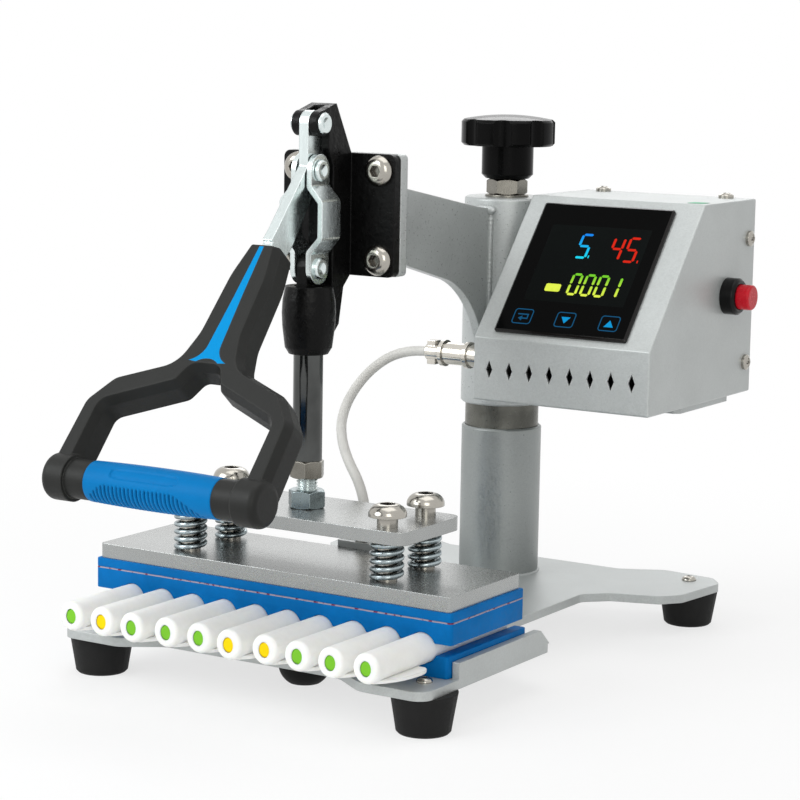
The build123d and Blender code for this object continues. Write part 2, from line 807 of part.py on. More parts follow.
def hand_grip():
    """Soft grip with ribs round its lower half."""
    grip = rod_x(grip_radius, -grip_half, grip_half, grip_axis_y, grip_axis_z)
    pitch = 2 * (grip_half - 5) / grip_rib_count
    for i in range(grip_rib_count):
        x = -grip_half + 5 + pitch * (i + 0.5)
        ring = rod_x(grip_radius + 1, x - pitch * 0.2, x + pitch * 0.2, grip_axis_y, grip_axis_z)
        ring -= rod_x(grip_radius - grip_rib_depth, x - pitch, x + pitch, grip_axis_y, grip_axis_z)
        lower = handle_face * Pos(x, -grip_radius, 0) * Box(pitch, 2 * grip_radius, 3 * grip_radius)
        grip -= ring & lower
    return grip - rod_x(grip_core_radius, -grip_half, grip_half, grip_axis_y, grip_axis_z)


def toggle_casting():
    """Casting with a bolted flange, a web, two ears and the plunger's barrel."""
    ear = Pos(0, lever_pivot_z) * Circle(ear_radius)
    web_top = lever_pivot_z + ear_radius
    web = Polygon(
        (0, web_top),
        (12.6, web_top + 3.7),
        (head_flange_front_y, head_flange_centre_z + head_flange_half_z),
        (head_flange_front_y, head_flange_centre_z - head_flange_half_z),
        (web_front_y, barrel_top - 12),
        (web_front_y, crank_pivot_z + 2),
        (web_top_front_y, crank_pivot_z + 12),
        (web_top_front_y, lever_pivot_z - 5),
    )
    casting = extrude(Plane.YZ * (web + ear), ear_half, both=True)
    gusset = Polygon(
        (head_flange_front_y, head_flange_centre_z - head_flange_half_z),
        (22.4, barrel_bottom + 14.7),
        (barrel_mouth_radius, barrel_bottom + 4),
        (barrel_mouth_radius, barrel_top),
    )
    casting += extrude(Plane.YZ * gusset, gusset_half, both=True)
    flange = Pos(0, head_flange_centre_z) * RectangleRounded(
        2 * head_flange_half_x, 2 * head_flange_half_z, flange_corner_radius)
    flange = extrude(Plane.XZ.offset(-end_plate_front_y) * flange, head_flange_thickness)
    casting += flange
    casting += turned([
        (0, barrel_bottom),
        (barrel_mouth_radius, barrel_bottom),
        (barrel_end_radius, barrel_bottom + 3.5),
        (barrel_waist_radius - 0.4, barrel_bottom + 15),
        (barrel_waist_radius, barrel_bottom + 23),
        (barrel_waist_radius - 0.4, barrel_bottom + 30),
        (barrel_end_radius, barrel_top),
        (0, barrel_top),
    ])
    casting -= block(-slot_half, slot_half, -ear_radius - 1, slot_back_y, crank_pivot_z, web_top + 10)
    casting -= rod_z(rod_radius + running_fit, barrel_bottom, barrel_top)
    casting -= rod_x(pin_radius, -ear_half, ear_half, 0, lever_pivot_z)
    for x, z in flange_bolt_places():
        casting -= rod_y(flange_bolt_radius, head_flange_front_y, end_plate_front_y, x, z)
    return casting


def flange_bolt_places():
    """Centres of the four bolts through the casting's flange."""
    return [(sx * flange_bolt_x, head_flange_centre_z + sz * flange_bolt_z)
            for sx in (-1, 1) for sz in (-1, 1)]


def flange_bolt():
    """Bolt along +Y, its head's seat at y 0."""
    head = Rot(90, 0, 0) * button_head(flange_bolt_head_radius, flange_bolt_head_height, flange_bolt_socket)
    length = head_flange_thickness + end_plate_thickness
    return head + rod_y(flange_bolt_radius, 0, length, 0, 0)


def end_plate():
    """Plate across the end of the arm that the casting is bolted to."""
    sheet = Pos(0, head_flange_centre_z) * RectangleRounded(
        2 * (head_flange_half_x + end_plate_margin), 2 * head_flange_half_z, 3)
    plate = extrude(Plane.XZ.offset(-end_plate_back_y) * sheet, end_plate_thickness)
    for x, z in flange_bolt_places():
        plate -= rod_y(flange_bolt_radius, end_plate_front_y, end_plate_back_y, x, z)
    return plate


def arm_plate():
    """Upright plate from the sleeve to the end plate, with a sweeping lower edge."""
    meet_y = post_y - math.sqrt(sleeve_radius ** 2 - arm_half ** 2)
    deep_y = post_y - sleeve_radius / 2
    outline = make_face([
        Line((end_plate_back_y, arm_front_bottom_z), (end_plate_back_y, arm_front_top_z)),
        Line((end_plate_back_y, arm_front_top_z), (meet_y - 14, arm_at_sleeve_z + 2.6)),
        Line((meet_y - 14, arm_at_sleeve_z + 2.6), (deep_y, arm_at_sleeve_z)),
        Line((deep_y, arm_at_sleeve_z), (deep_y, arm_foot_z)),
        Line((deep_y, arm_foot_z), (meet_y - 5, arm_foot_z)),
        ThreePointArc((meet_y - 5, arm_foot_z), (arm_sweep_y, arm_sweep_z), (arm_knee_y, arm_knee_z)),
        Line((arm_knee_y, arm_knee_z), (end_plate_back_y, arm_front_bottom_z)),
    ])
    return extrude(Plane.YZ * outline, arm_half, both=True) - sleeve_space()


def sleeve_space():
    """Full round of the sleeve, to cut what is welded to it."""
    return rod_z(sleeve_radius, bracket_bottom - 10, sleeve_top_z + 10, 0, post_y)


def weld_beads():
    """Weld beads along the arm at both ends and round the foot of the post."""
    front = Polygon((arm_half, end_plate_back_y), (arm_half + weld_leg, end_plate_back_y),
                    (arm_half, end_plate_back_y + weld_leg))
    front = Pos(0, 0, arm_front_bottom_z) * extrude(front, arm_front_top_z - arm_front_bottom_z)
    back_y = post_y - sleeve_radius
    back = Polygon((arm_half, back_y - weld_leg), (arm_half + 1.5 * weld_leg, back_y + 0.6),
                   (arm_half + 1.5 * weld_leg, back_y + 3), (arm_half, back_y + 3))
    back = Pos(0, 0, arm_foot_z) * extrude(back, arm_at_sleeve_z - arm_foot_z) - sleeve_space()
    ring = turned([(post_radius, base_top), (post_radius + weld_leg, base_top),
                   (post_radius, base_top + weld_leg)])
    return both_sides(front) + both_sides(back) + [Pos(0, post_y, 0) * ring]


def head_sleeve():
    """Capped sleeve round the post's shaft."""
    sleeve = rod_z(sleeve_radius, sleeve_bottom_z, sleeve_top_z)
    sleeve = chamfer(sleeve.edges().filter_by(GeomType.CIRCLE), 1)
    sleeve -= rod_z(shaft_radius + shaft_fit, sleeve_bottom_z, sleeve_top_z - sleeve_cap)
    sleeve -= rod_z(screw_radius + loose_fit, sleeve_bottom_z, sleeve_top_z)
    return Pos(0, post_y, 0) * sleeve


def post_tube():
    """Lower tube welded to the base plate, with the shaft inside."""
    tube = rod_z(post_radius, base_top, post_top_z)
    tube = chamfer(tube.edges().filter_by(GeomType.CIRCLE).sort_by(Axis.Z)[-1], 1)
    tube -= rod_z(shaft_radius + shaft_fit, base_top + 2, post_top_z)
    return Pos(0, post_y, 0) * tube


def inner_shaft():
    """Hollow shaft that stands in the post and carries the sleeve."""
    top = sleeve_top_z - sleeve_cap
    shaft = rod_z(shaft_radius, base_top + 2, top)
    shaft -= rod_z(shaft_radius - shaft_wall, base_top + 8, top - 14)
    shaft -= rod_z(screw_radius + loose_fit, top - 14, top)
    return Pos(0, post_y, 0) * shaft


def height_screw():
    """Plain stud of the knob, through the lock nut and the sleeve's cap."""
    top = knob_head_bottom + 6
    return rod_z(screw_radius, top - screw_length, top, 0, post_y)


def star_knob():
    """Moulded knob with a collar, a lobed rim and a low dome."""
    edge = 1.6
    collar = turned([
        (0, knob_bottom),
        (knob_collar_radius - 2.5, knob_bottom),
        (knob_collar_radius, knob_bottom + 2.5),
        (knob_collar_radius, knob_head_bottom + 1),
        (0, knob_head_bottom + 1),
    ])
    side = make_face([
        Line((0, knob_head_bottom), (knob_radius - edge, knob_head_bottom)),
        Line((knob_radius - edge, knob_head_bottom), (knob_radius, knob_head_bottom + edge)),
        Line((knob_radius, knob_head_bottom + edge), (knob_radius, knob_head_top - edge)),
        Line((knob_radius, knob_head_top - edge), (knob_radius - edge, knob_head_top)),
        TangentArc((0, knob_head_top + knob_dome), (knob_radius - edge, knob_head_top), tangent=(1, 0)),
        Line((0, knob_head_top + knob_dome), (0, knob_head_bottom)),
    ])
    head = revolve(Plane.XZ * side, Axis.Z)
    centre = knob_radius + knob_hollow_radius - knob_hollow_depth
    for i in range(knob_lobes):
        angle = 2 * math.pi * (i + 0.5) / knob_lobes
        x = centre * math.cos(angle)
        y = centre * math.sin(angle)
        head -= rod_z(knob_hollow_radius, knob_head_bottom, knob_head_top + knob_dome, x, y)
    knob = collar + head
    knob -= rod_z(screw_radius + running_fit, knob_bottom, knob_head_bottom + 6 + side_gap)
    return Pos(0, post_y, 0) * knob


def box_outline(margin):
    """Side outline of the control box, drawn in by a margin."""
    outline = Polygon(
        (box_front_y, box_bottom_z),
        (box_back_y, box_bottom_z),
        (box_back_y, box_top_z),
        (box_slope_top_y, box_top_z),
        (box_front_y, box_slope_bottom_z),
    )
    return offset(outline, -margin, kind=Kind.INTERSECTION) if margin else outline


def box_shell():
    """Folded sheet housing, open at the back, with vents, a display window and two holes."""
    shell = Pos(box_left_x, 0, 0) * extrude(Plane.YZ * box_outline(0), box_right_x - box_left_x)
    front_edges = [edge for edge in shell.edges() if edge.center().Y < box_back_y - 1]
    shell = fillet(front_edges, box_edge_radius)
    inside_width = box_right_x - box_left_x - 2 * box_wall
    inside_left = Pos(box_left_x + box_wall, 0, 0)
    shell -= inside_left * extrude(Plane.YZ * box_outline(box_wall), inside_width)
    shell -= block(box_left_x + box_wall, box_right_x - box_wall, box_back_y - 2 * box_wall, box_back_y,
                   box_bottom_z + box_wall, box_top_z - box_wall)
    diamond = Polygon((-vent_width / 2, 0), (0, -vent_height / 2), (vent_width / 2, 0), (0, vent_height / 2))
    for i in range(vent_count):
        vent = Pos(vent_first_x + i * vent_pitch, vent_z) * diamond
        shell -= extrude(Plane.XZ.offset(-box_front_y - 2 * box_wall) * vent, 3 * box_wall)
    shell -= slope_face * Pos(0, 0, -2 * box_wall) * extrude(module_outline(), 3 * box_wall)
    shell -= rod_x(bezel_neck_radius, box_right_x - 2 * box_wall, box_right_x, button_y, button_z)
    shell -= rod_x(plug_radius, box_left_x, box_left_x + 2 * box_wall, plug_y, plug_z)
    for hole in box_screw_holes():
        shell -= hole
    return shell


def box_screw_places():
    """Place and way out of each screw in the sides and the top."""
    y = box_back_y - box_screw_inset
    sides = [(x, y, z, way) for x, way in ((box_left_x, -90), (box_right_x, 90))
             for z in (side_screw_low_z, side_screw_high_z)]
    tops = [(x, y, box_top_z, 0) for x in (box_left_x + top_screw_inset_x, box_right_x - top_screw_inset_x)]
    return sides + tops


def box_screw_holes():
    """Screw holes through the shell and the back panel's flanges."""
    return [Pos(x, y, z) * Rot(0, way, 0) * Cylinder(box_screw_radius / 2, 4 * box_wall)
            for x, y, z, way in box_screw_places()]


def box_screws():
    """Round-headed screws in the sides and the top of the box."""
    screw = button_head(box_screw_radius, box_screw_head_height, 2.4)
    screw += rod_z(box_screw_radius / 2, -2 * box_wall, 0)
    return [Pos(x, y, z) * Rot(0, way, 0) * screw for x, y, z, way in box_screw_places()]


def box_back():
    """Back panel with flanges inside the shell, cut for the inlet and the switch."""
    left = box_left_x + box_wall
    right = box_right_x - box_wall
    bottom = box_bottom_z + box_wall
    top = box_top_z - box_wall
    depth = 2 * box_screw_inset
    panel = block(left, right, box_back_y - depth, box_back_y, bottom, top)
    panel -= block(left + box_wall, right - box_wall, box_back_y - depth, box_back_y - box_wall,
                   bottom, top - box_wall)
    panel -= block(inlet_x - inlet_width / 2, inlet_x + inlet_width / 2, box_back_y - box_wall, box_back_y,
                   inlet_z - inlet_height / 2, inlet_z + inlet_height / 2)
    panel -= block(switch_x - switch_width / 2, switch_x + switch_width / 2, box_back_y - box_wall,
                   box_back_y, inlet_z - switch_height / 2, inlet_z + switch_height / 2)
    for hole in box_screw_holes():
        panel -= hole
    return panel


def module_outline():
    """Opening in the slope for the controller behind the display."""
    width = display_width - 2 * module_margin
    height = display_height - 2 * module_margin
    return Pos(display_left + display_width / 2, display_low + display_height / 2) * Rectangle(width, height)


def display_panel():
    """Flat display front that stands proud of the slope."""
    middle = Pos(display_left + display_width / 2, display_low + display_height / 2)
    panel = extrude(middle * RectangleRounded(display_width, display_height, display_corner_radius),
                    display_thickness)
    return slope_face * chamfer(panel.faces().sort_by(Axis.Z)[-1].edges(), 0.5)


def controller_module():
    """Controller body hung behind the display."""
    return slope_face * Pos(0, 0, -module_depth) * extrude(module_outline(), module_depth)


def box_bracket():
    """Bar from the sleeve that carries the box."""
    bar = block(bracket_left_x, bracket_right_x, bracket_front_y, bracket_back_y, bracket_bottom, box_bottom_z)
    bar = chamfer(bar.edges().filter_by(Axis.Z).sort_by(Axis.X)[-2:], 3)
    return bar - sleeve_space()


def button_bezel():
    """Threaded ring of the push button, with its nut inside the box."""
    bezel = rod_x(bezel_radius, box_right_x, box_right_x + bezel_height, button_y, button_z)
    bezel = chamfer(bezel.edges().filter_by(GeomType.CIRCLE).sort_by(Axis.X)[-1], 1.5)
    inside = box_right_x - bezel_neck_length
    bezel += rod_x(bezel_neck_radius, inside, box_right_x, button_y, button_z)
    nut = Rot(0, -90, 0) * hex_bar(bezel_nut_flats, bezel_nut_height)
    bezel += Pos(box_right_x - box_wall, button_y, button_z) * nut
    floor = box_right_x + bezel_height - button_travel - 4.5
    bore = rod_x(button_radius + loose_fit, floor, box_right_x + bezel_height, button_y, button_z)
    return bezel - bore


def button_cap():
    """Round push button in the bezel."""
    front = box_right_x + bezel_height + button_proud
    cap = rod_x(button_radius, box_right_x + bezel_height - 4, front, button_y, button_z)
    return fillet(cap.edges().filter_by(GeomType.CIRCLE).sort_by(Axis.X)[-1], 1.2)


def inlet_socket():
    """Hollow mains inlet in the back panel, with its three blades."""
    front = box_back_y + inlet_flange_thickness
    flange = Plane.XZ.offset(-front) * Pos(inlet_x, inlet_z) * RectangleRounded(
        inlet_flange_width, inlet_flange_height, 3)
    socket = extrude(flange, inlet_flange_thickness)
    socket += block(inlet_x - inlet_width / 2, inlet_x + inlet_width / 2, front - inlet_depth, front,
                    inlet_z - inlet_height / 2, inlet_z + inlet_height / 2)
    half_x = inlet_width / 2 - inlet_wall
    half_z = inlet_height / 2 - inlet_wall
    corner = 5.0
    hole = Polygon((-half_x, -half_z), (half_x, -half_z), (half_x, half_z - corner), (half_x - corner, half_z),
                   (corner - half_x, half_z), (-half_x, half_z - corner))
    hole = Plane.XZ.offset(-front) * Pos(inlet_x, inlet_z) * hole
    socket -= extrude(hole, inlet_depth - inlet_wall)
    back = front - inlet_depth + inlet_wall
    for dx, dz in ((-7.0, -1.5), (7.0, -1.5), (0.0, 2.5)):
        x = inlet_x + dx
        z = inlet_z + dz
        socket += block(x - 1, x + 1, back, back + inlet_blade_length, z - 2, z + 2)
    return socket


def switch_frame():
    """Frame of the power switch in the back panel."""
    half_x = switch_width / 2
    half_z = switch_height / 2
    front = box_back_y + switch_rim
    frame = block(switch_x - half_x - switch_wall, switch_x + half_x + switch_wall, box_back_y, front,
                  inlet_z - half_z - switch_wall, inlet_z + half_z + switch_wall)
    frame += block(switch_x - half_x, switch_x + half_x, front - switch_depth, front,
                   inlet_z - half_z, inlet_z + half_z)
    well = front - switch_depth + switch_wall
    return frame - block(switch_x - half_x + switch_wall, switch_x + half_x - switch_wall, well, front,
                         inlet_z - half_z + switch_wall, inlet_z + half_z - switch_wall)


def power_rocker():
    """Rocker key of the power switch, its round ends turning about its pivot."""
    pivot_y = box_back_y + switch_rim - rocker_pivot_depth
    half_x = switch_width / 2 - switch_wall - side_gap
    radius = switch_height / 2 - switch_wall - side_gap
    face = rocker_pivot_depth + 0.2
    raised = face + radius * math.tan(math.radians(rocker_angle))
    key = Polygon((-4, -radius), (face, -radius), (face, 0), (raised, radius), (-4, radius)) & Circle(radius)
    return Pos(switch_x, pivot_y, inlet_z) * extrude(Plane.YZ * key, half_x, both=True)


def plug_socket():
    """Round socket on the left wall of the box."""
    flange_x = box_left_x - socket_flange_thickness
    socket = rod_x(socket_flange_radius, flange_x, box_left_x, plug_y, plug_z)
    socket += rod_x(plug_radius, plug_joint_x, box_left_x + 6, plug_y, plug_z)
    return socket + rod_x(plug_ring_radius, plug_joint_x, plug_joint_x + 2.6, plug_y, plug_z)


def cable_plug():
    """Metal plug with a clamp at its tail."""
    tail_x = plug_joint_x - plug_body_length
    plug = rod_x(plug_radius, tail_x, plug_joint_x, plug_y, plug_z)
    plug += rod_x(plug_ring_radius, tail_x - 1.6, tail_x + 0.8, plug_y, plug_z)
    plug += rod_x(plug_radius * 0.75, plug_end_x, tail_x, plug_y, plug_z)
    plug += block(plug_end_x + 1, plug_end_x + 6.5, plug_y - 3.2, plug_y + 3.2, plug_z - 7.2, plug_z + 7.2)
    return plug


def cable_route():
    """Hand-chosen points of the heater lead, from the plug down to the gland."""
    return [
        (plug_end_x, plug_y, plug_z),
        (-30.0, plug_y, plug_z),
        (-48.0, plug_y - 12.0, plug_z - 13.4),
        (-39.0, plug_y - 54.0, plug_z - 31.8),
        (-14.0, terminal_y + 10.5, plug_z - 47.0),
        (terminal_x, terminal_y, 100.6),
        (terminal_x, terminal_y, heater_bottom + terminal_height + gland_height),
    ]


def heater_cable():
    """Round lead from the plug to the gland, straight runs joined by large arcs."""
    route = [Vector(*point) for point in cable_route()]
    radii = []
    for before, corner, after in zip(route, route[1:], route[2:]):
        turn = (corner - before).get_angle(after - corner)
        shorter = min((corner - before).length, (after - corner).length)
        radii.append(0.45 * shorter / math.tan(math.radians(turn / 2)))
    path = FilletPolyline(*route, radius=radii)
    section = Plane(origin=route[0], z_dir=route[1] - route[0]) * Circle(cable_radius)
    cable = sweep(section, path=path)
    print("cable: radii", [round(radius, 1) for radius in radii], "length", round(path.length, 1))
    print("cable: volume over section times length",
          round(cable.volume / (math.pi * cable_radius ** 2 * path.length), 4))
    return cable


def terminal_cover():
    """Small cover on the back edge of the heater plate, where the lead goes in."""
    front = heater_half_y
    bottom = heater_bottom + side_gap
    cover = block(terminal_x - terminal_half_x, terminal_x + terminal_half_x, front, terminal_back_y,
                  bottom, heater_bottom + terminal_height)
    return fillet(cover.edges().filter_by(Axis.Z), 2)


def cable_gland():
    """Nut of the gland on top of the terminal cover."""
    nut = hex_bar(2 * gland_radius, gland_height * 0.55)
    nut += rod_z(gland_radius * 0.85, 0, gland_height)
    return Pos(terminal_x, terminal_y, heater_bottom + terminal_height) * nut


def seated(solid, places, z):
    """Copies of a solid at (x, y) places and one height."""
    return [Pos(x, y, z) * solid for x, y in places]


def main():
    os.makedirs("parts", exist_ok=True)
    write("base_plate", base_plate())
    write("rubber_feet", *seated(rubber_foot(), foot_places(), 0))
    write("centre_foot", centre_foot())
    write("foot_screws", *seated(foot_screw(), foot_places(), base_top))
    write("lower_pad", lower_pad())
    write("upper_pad_grooved", *upper_pad_grooved())
    write("upper_pad_thin",
          pad(upper_pad_half_x, -upper_pad_half_y, upper_pad_half_y, thin_pad_bottom, thin_pad_thickness))
    wraps, green, yellow = pen_load()
    write("pen_wraps", *wraps)
    write("pens_green", *green)
    write("pens_yellow", *yellow)
    write("heater_plate", heater_plate())
    write("guide_bolts", *seated(guide_bolt(), guide_places(), 0))
    write("platen_springs", *seated(spring(), guide_places(), 0))
    write("carrier_plate", carrier_plate())
    write("lower_nut", Pos(0, 0, carrier_top) * hex_bar(lower_nut_flats, lower_nut_height, stud_radius))
    write("plunger_stud", rod_z(stud_radius, carrier_bottom, rod_bottom))
    write("jam_nut", Pos(0, 0, jam_nut_bottom) * hex_bar(jam_nut_flats, jam_nut_height, stud_radius))
    write("plunger_rod", rod_z(rod_radius, rod_bottom, rod_top))
    write("plunger_tongue", plunger_tongue())
    write("tongue_pin", rod_x(pin_radius, -tongue_half, tongue_half, 0, link_pivot_z))
    write("link_plates", *both_sides(link_plate()))
    write("link_studs", *both_sides(link_stud()))
    write("crank_pin", riveted_pin(link_outer + side_gap, crank_pivot_z))
    write("lever_pin", riveted_pin(ear_half, lever_pivot_z))
    write("lever_plate", lever_plate())
    write("handle_yoke", handle_yoke())
    write("handle_inlay", inlay())
    write("hand_grip", hand_grip())
    write("grip_core",
          rod_x(grip_core_radius, -yoke_leg_outer + 6, yoke_leg_outer - 6, grip_axis_y, grip_axis_z))
    write("toggle_casting", toggle_casting())
    write("flange_bolts", *[Pos(x, head_flange_front_y, z) * flange_bolt() for x, z in flange_bolt_places()])
    write("end_plate", end_plate())
    write("arm_plate", arm_plate())
    write("weld_beads", *weld_beads())
    write("head_sleeve", head_sleeve())
    write("post_tube", post_tube())
    write("inner_shaft", inner_shaft())
    washer = rod_z(washer_radius, 0, washer_thickness) - rod_z(screw_radius + loose_fit, 0, washer_thickness)
    write("lock_washer", Pos(0, post_y, sleeve_top_z) * washer)
    lock_nut = hex_bar(lock_nut_flats, lock_nut_height, screw_radius + running_fit)
    write("lock_nut", Pos(0, post_y, lock_nut_bottom) * lock_nut)
    write("height_screw", height_screw())
    write("star_knob", star_knob())
    write("box_shell", box_shell())
    write("box_back", box_back())
    write("box_screws", *box_screws())
    write("box_bracket", box_bracket())
    write("display_panel", display_panel())
    write("controller_module", controller_module())
    write("button_bezel", button_bezel())
    write("button_cap", button_cap())
    write("inlet_socket", inlet_socket())
    write("switch_frame", switch_frame())
    write("power_rocker", power_rocker())
    write("plug_socket", plug_socket())
    write("cable_plug", cable_plug())
    write("heater_cable", heater_cable())
    write("terminal_cover", terminal_cover())
    write("cable_gland", cable_gland())


if __name__ == "__main__":
    main()
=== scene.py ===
import math

import bmesh
import bpy
from mathutils import Matrix, Vector


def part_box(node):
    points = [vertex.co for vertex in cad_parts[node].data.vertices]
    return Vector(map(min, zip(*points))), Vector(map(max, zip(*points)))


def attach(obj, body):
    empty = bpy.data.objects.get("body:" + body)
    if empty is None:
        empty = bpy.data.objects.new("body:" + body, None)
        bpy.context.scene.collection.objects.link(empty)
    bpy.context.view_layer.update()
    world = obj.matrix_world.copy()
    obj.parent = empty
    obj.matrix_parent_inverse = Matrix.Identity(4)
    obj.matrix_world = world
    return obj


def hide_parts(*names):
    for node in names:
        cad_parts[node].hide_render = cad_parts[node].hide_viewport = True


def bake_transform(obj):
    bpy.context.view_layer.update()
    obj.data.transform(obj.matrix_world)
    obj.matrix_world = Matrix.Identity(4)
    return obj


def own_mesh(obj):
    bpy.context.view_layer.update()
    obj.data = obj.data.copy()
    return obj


bl_info = {
    "name": "Pen Heat Press",
    "version": (1, 0, 0),
    "blender": (4, 5, 0),
    "location": "View3D > Sidebar > Pen Press",
    "description": "Finishes and detailed pieces for a bench press that heats ten pens",
    "category": "Object",
}

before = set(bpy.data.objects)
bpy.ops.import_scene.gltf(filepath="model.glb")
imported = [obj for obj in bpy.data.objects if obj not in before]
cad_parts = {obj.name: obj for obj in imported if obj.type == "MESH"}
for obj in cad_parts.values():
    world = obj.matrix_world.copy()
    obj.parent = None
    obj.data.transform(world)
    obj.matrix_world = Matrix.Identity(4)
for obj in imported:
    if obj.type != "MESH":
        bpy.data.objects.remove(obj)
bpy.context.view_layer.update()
mm = 0.001


# ---- Properties


def size(name, description, default):
    """Length property in metres."""
    return bpy.props.FloatProperty(name=name, description=description, default=default, unit="LENGTH",
                                   precision=5)


def amount(name, description, default):
    """Plain number property."""
    return bpy.props.FloatProperty(name=name, description=description, default=default, precision=4)


def whole(name, description, default):
    """Whole number property."""
    return bpy.props.IntProperty(name=name, description=description, default=default, min=1)


def colour(name, description, default):
    """Linear colour property."""
    return bpy.props.FloatVectorProperty(name=name, description=description, default=default, size=3,
                                         subtype="COLOR", min=0.0, max=1.0)


class PressCamera(bpy.types.PropertyGroup):
    """Camera that sees the press as the photograph does."""

    place: bpy.props.FloatVectorProperty(name="Place", description="Where the camera stands", size=3,
                                         default=(0.7770, -1.1419, 0.3709), subtype="TRANSLATION",
                                         unit="LENGTH")
    turn: amount("Turn", "Degrees that the camera is turned left of straight back", 32.11)
    tip: amount("Tip", "Degrees that the camera looks down", 8.62)
    roll: amount("Roll", "Degrees of roll about the view", 0.98)
    lens: amount("Lens", "Focal length in millimetres", 113.15)


class PressColours(bpy.types.PropertyGroup):
    """Colours of the finishes."""

    silver: colour("Silver paint", "Metallic paint of the plates, arm, sleeve and box", (0.525, 0.55, 0.545))
    platen: colour("Platen", "Heated aluminium plate and the plate above it", (0.37, 0.38, 0.375))
    zinc: colour("Zinc", "Lever, links and pins", (0.72, 0.79, 0.785))
    nut: colour("Nuts", "Upper plunger nut, and the post's nut and washer", (0.22, 0.21, 0.185))
    lower_nut: colour("Lower nut", "Lower plunger nut", (0.26, 0.31, 0.32))
    bright: colour("Bright steel", "Button-head bolts and screws", (0.42, 0.40, 0.36))
    rod: colour("Rod steel", "Plunger rod", (0.085, 0.088, 0.086))
    post: colour("Post", "Lower post tube", (0.325, 0.345, 0.34))
    shaft: colour("Shaft", "Bare shaft inside the post", (0.13, 0.13, 0.115))
    spring: colour("Springs", "Platen springs", (0.40, 0.46, 0.48))
    nickel: colour("Nickel", "Plug and socket of the lead", (0.68, 0.65, 0.59))
    casting: colour("Casting", "Black enamel on the toggle casting", (0.003, 0.003, 0.003))
    handle: colour("Handle", "Moulded handle", (0.016, 0.0165, 0.0155))
    knob: colour("Knob", "Glossy moulded knob", (0.002, 0.002, 0.002))
    rubber: colour("Rubber", "Feet", (0.014, 0.014, 0.014))
    silicone: colour("Blue silicone", "Pads over and under the pens", (0.0, 0.153, 0.46))
    grip: colour("Grip", "Soft grip", (0.0, 0.178, 0.48))
    inlay: colour("Inlay", "Strip in the handle's stem", (0.0, 0.274, 0.645))
    wrap: colour("Wraps", "Soft sleeves round the pens", (0.96, 0.955, 0.925))
    lead: colour("Lead", "Heater lead", (0.66, 0.65, 0.62))
    green: colour("Green pens", "Ends of the green pens", (0.20, 0.56, 0.03))
    yellow: colour("Yellow pens", "Ends of the yellow pens", (0.97, 0.70, 0.0))
    red: colour("Red button", "Push button on the box", (0.58, 0.006, 0.018))
    glass: colour("Display glass", "Black front of the display", (0.0012, 0.0013, 0.0013))


class PressSprings(bpy.types.PropertyGroup):
    """Four springs between the platen and the plate above it."""

    coil: size("Coil radius", "Radius of the wire's middle line", 0.008)
    wire: size("Wire radius", "Radius of the spring wire", 0.0015)
    turns: amount("Turns", "Number of turns", 4.5)
    ramp: amount("Ramp", "Part of a turn in which an end levels out", 0.25)
    steps: whole("Steps", "Steps in one turn", 36)


class PressPads(bpy.types.PropertyGroup):
    """Blue silicone pads."""

    groove: size("Groove radius", "Radius of the pens' grooves", 0.0086)
    axis: size("Groove height", "Height of the pens' axes", 0.0424)
    pitch: size("Pitch", "Distance between pens", 0.0215)
    shift: size("Shift", "Middle of the row, to the right", 0.00385)
    pens: whole("Pens", "Number of pens", 10)
    corner: size("Corner", "Radius of the upright corners", 0.002)
    edge: size("Edge", "Rounding of the cut edges", 0.0004)


class PressWraps(bpy.types.PropertyGroup):
    """Soft sleeves round the pens."""

    outer: size("Outer radius", "Outside of a sleeve", 0.0083)
    inner: size("Inner radius", "Bore of a sleeve", 0.0046)
    lip: size("Lip radius", "Opening at the front, in front of the pen's end", 0.0042)
    lip_thick: size("Lip", "Thickness of the front lip", 0.0005)
    lip_narrow: amount("Lip width", "Width of the opening as a share of its height", 0.80)
    rim: size("Rim", "Rounding of the front end", 0.0024)
    long: size("Length", "Length of a sleeve", 0.132)
    tail: size("Tail", "Thickness of the loose tail", 0.002)
    reach: size("Reach", "How far the tail reaches to the right", 0.014)
    tail_long: size("Tail length", "Length of the tail", 0.042)


class PressGrip(bpy.types.PropertyGroup):
    """Soft grip of the handle."""

    radius: size("Radius", "Radius at the ends", 0.0108)
    crown: size("Crown", "Extra radius in the middle", 0.0007)
    pitch: size("Rib pitch", "Distance between ribs", 0.0026)
    rib: size("Rib depth", "Depth of the grooves between ribs", 0.0011)
    line: amount("Rib line", "Degrees above straight forward at which the ribs end", 8.0)
    panel: size("Panel depth", "Depth of the blank panel", 0.0008)
    panel_low: amount("Panel bottom", "Degrees above straight forward", 26.0)
    panel_high: amount("Panel top", "Degrees above straight forward", 58.0)


class PressDisplay(bpy.types.PropertyGroup):
    """Lit digits and keys on the display."""

    lean: amount("Lean", "Sideways lean of the digits", 0.03)
    bar: size("Bar", "Width of a digit's bars", 0.0016)
    raise_by: size("Raise", "Thickness of the lit shapes", 0.00008)
    cyan_top: colour("Cyan, top", "Left digit at its top", (0.010, 0.27, 1.0))
    cyan_foot: colour("Cyan, foot", "Left digit at its foot", (0.012, 0.75, 0.95))
    scarlet: colour("Red", "Right digits", (0.78, 0.021, 0.007))
    lime_top: colour("Lime, top", "Counter digits at their top", (0.20, 0.70, 0.03))
    lime_foot: colour("Lime, foot", "Counter digits at their foot", (0.86, 1.0, 0.09))
    key: colour("Keys", "Outlines of the touch keys", (0.008, 0.095, 0.215))
    sign: colour("Key signs", "Signs in the touch keys", (0.004, 0.34, 0.74))
    rim: size("Rim", "Width of the bevelled rim", 0.0012)
    glow: amount("Glow", "Strength of the lit shapes", 0.95)


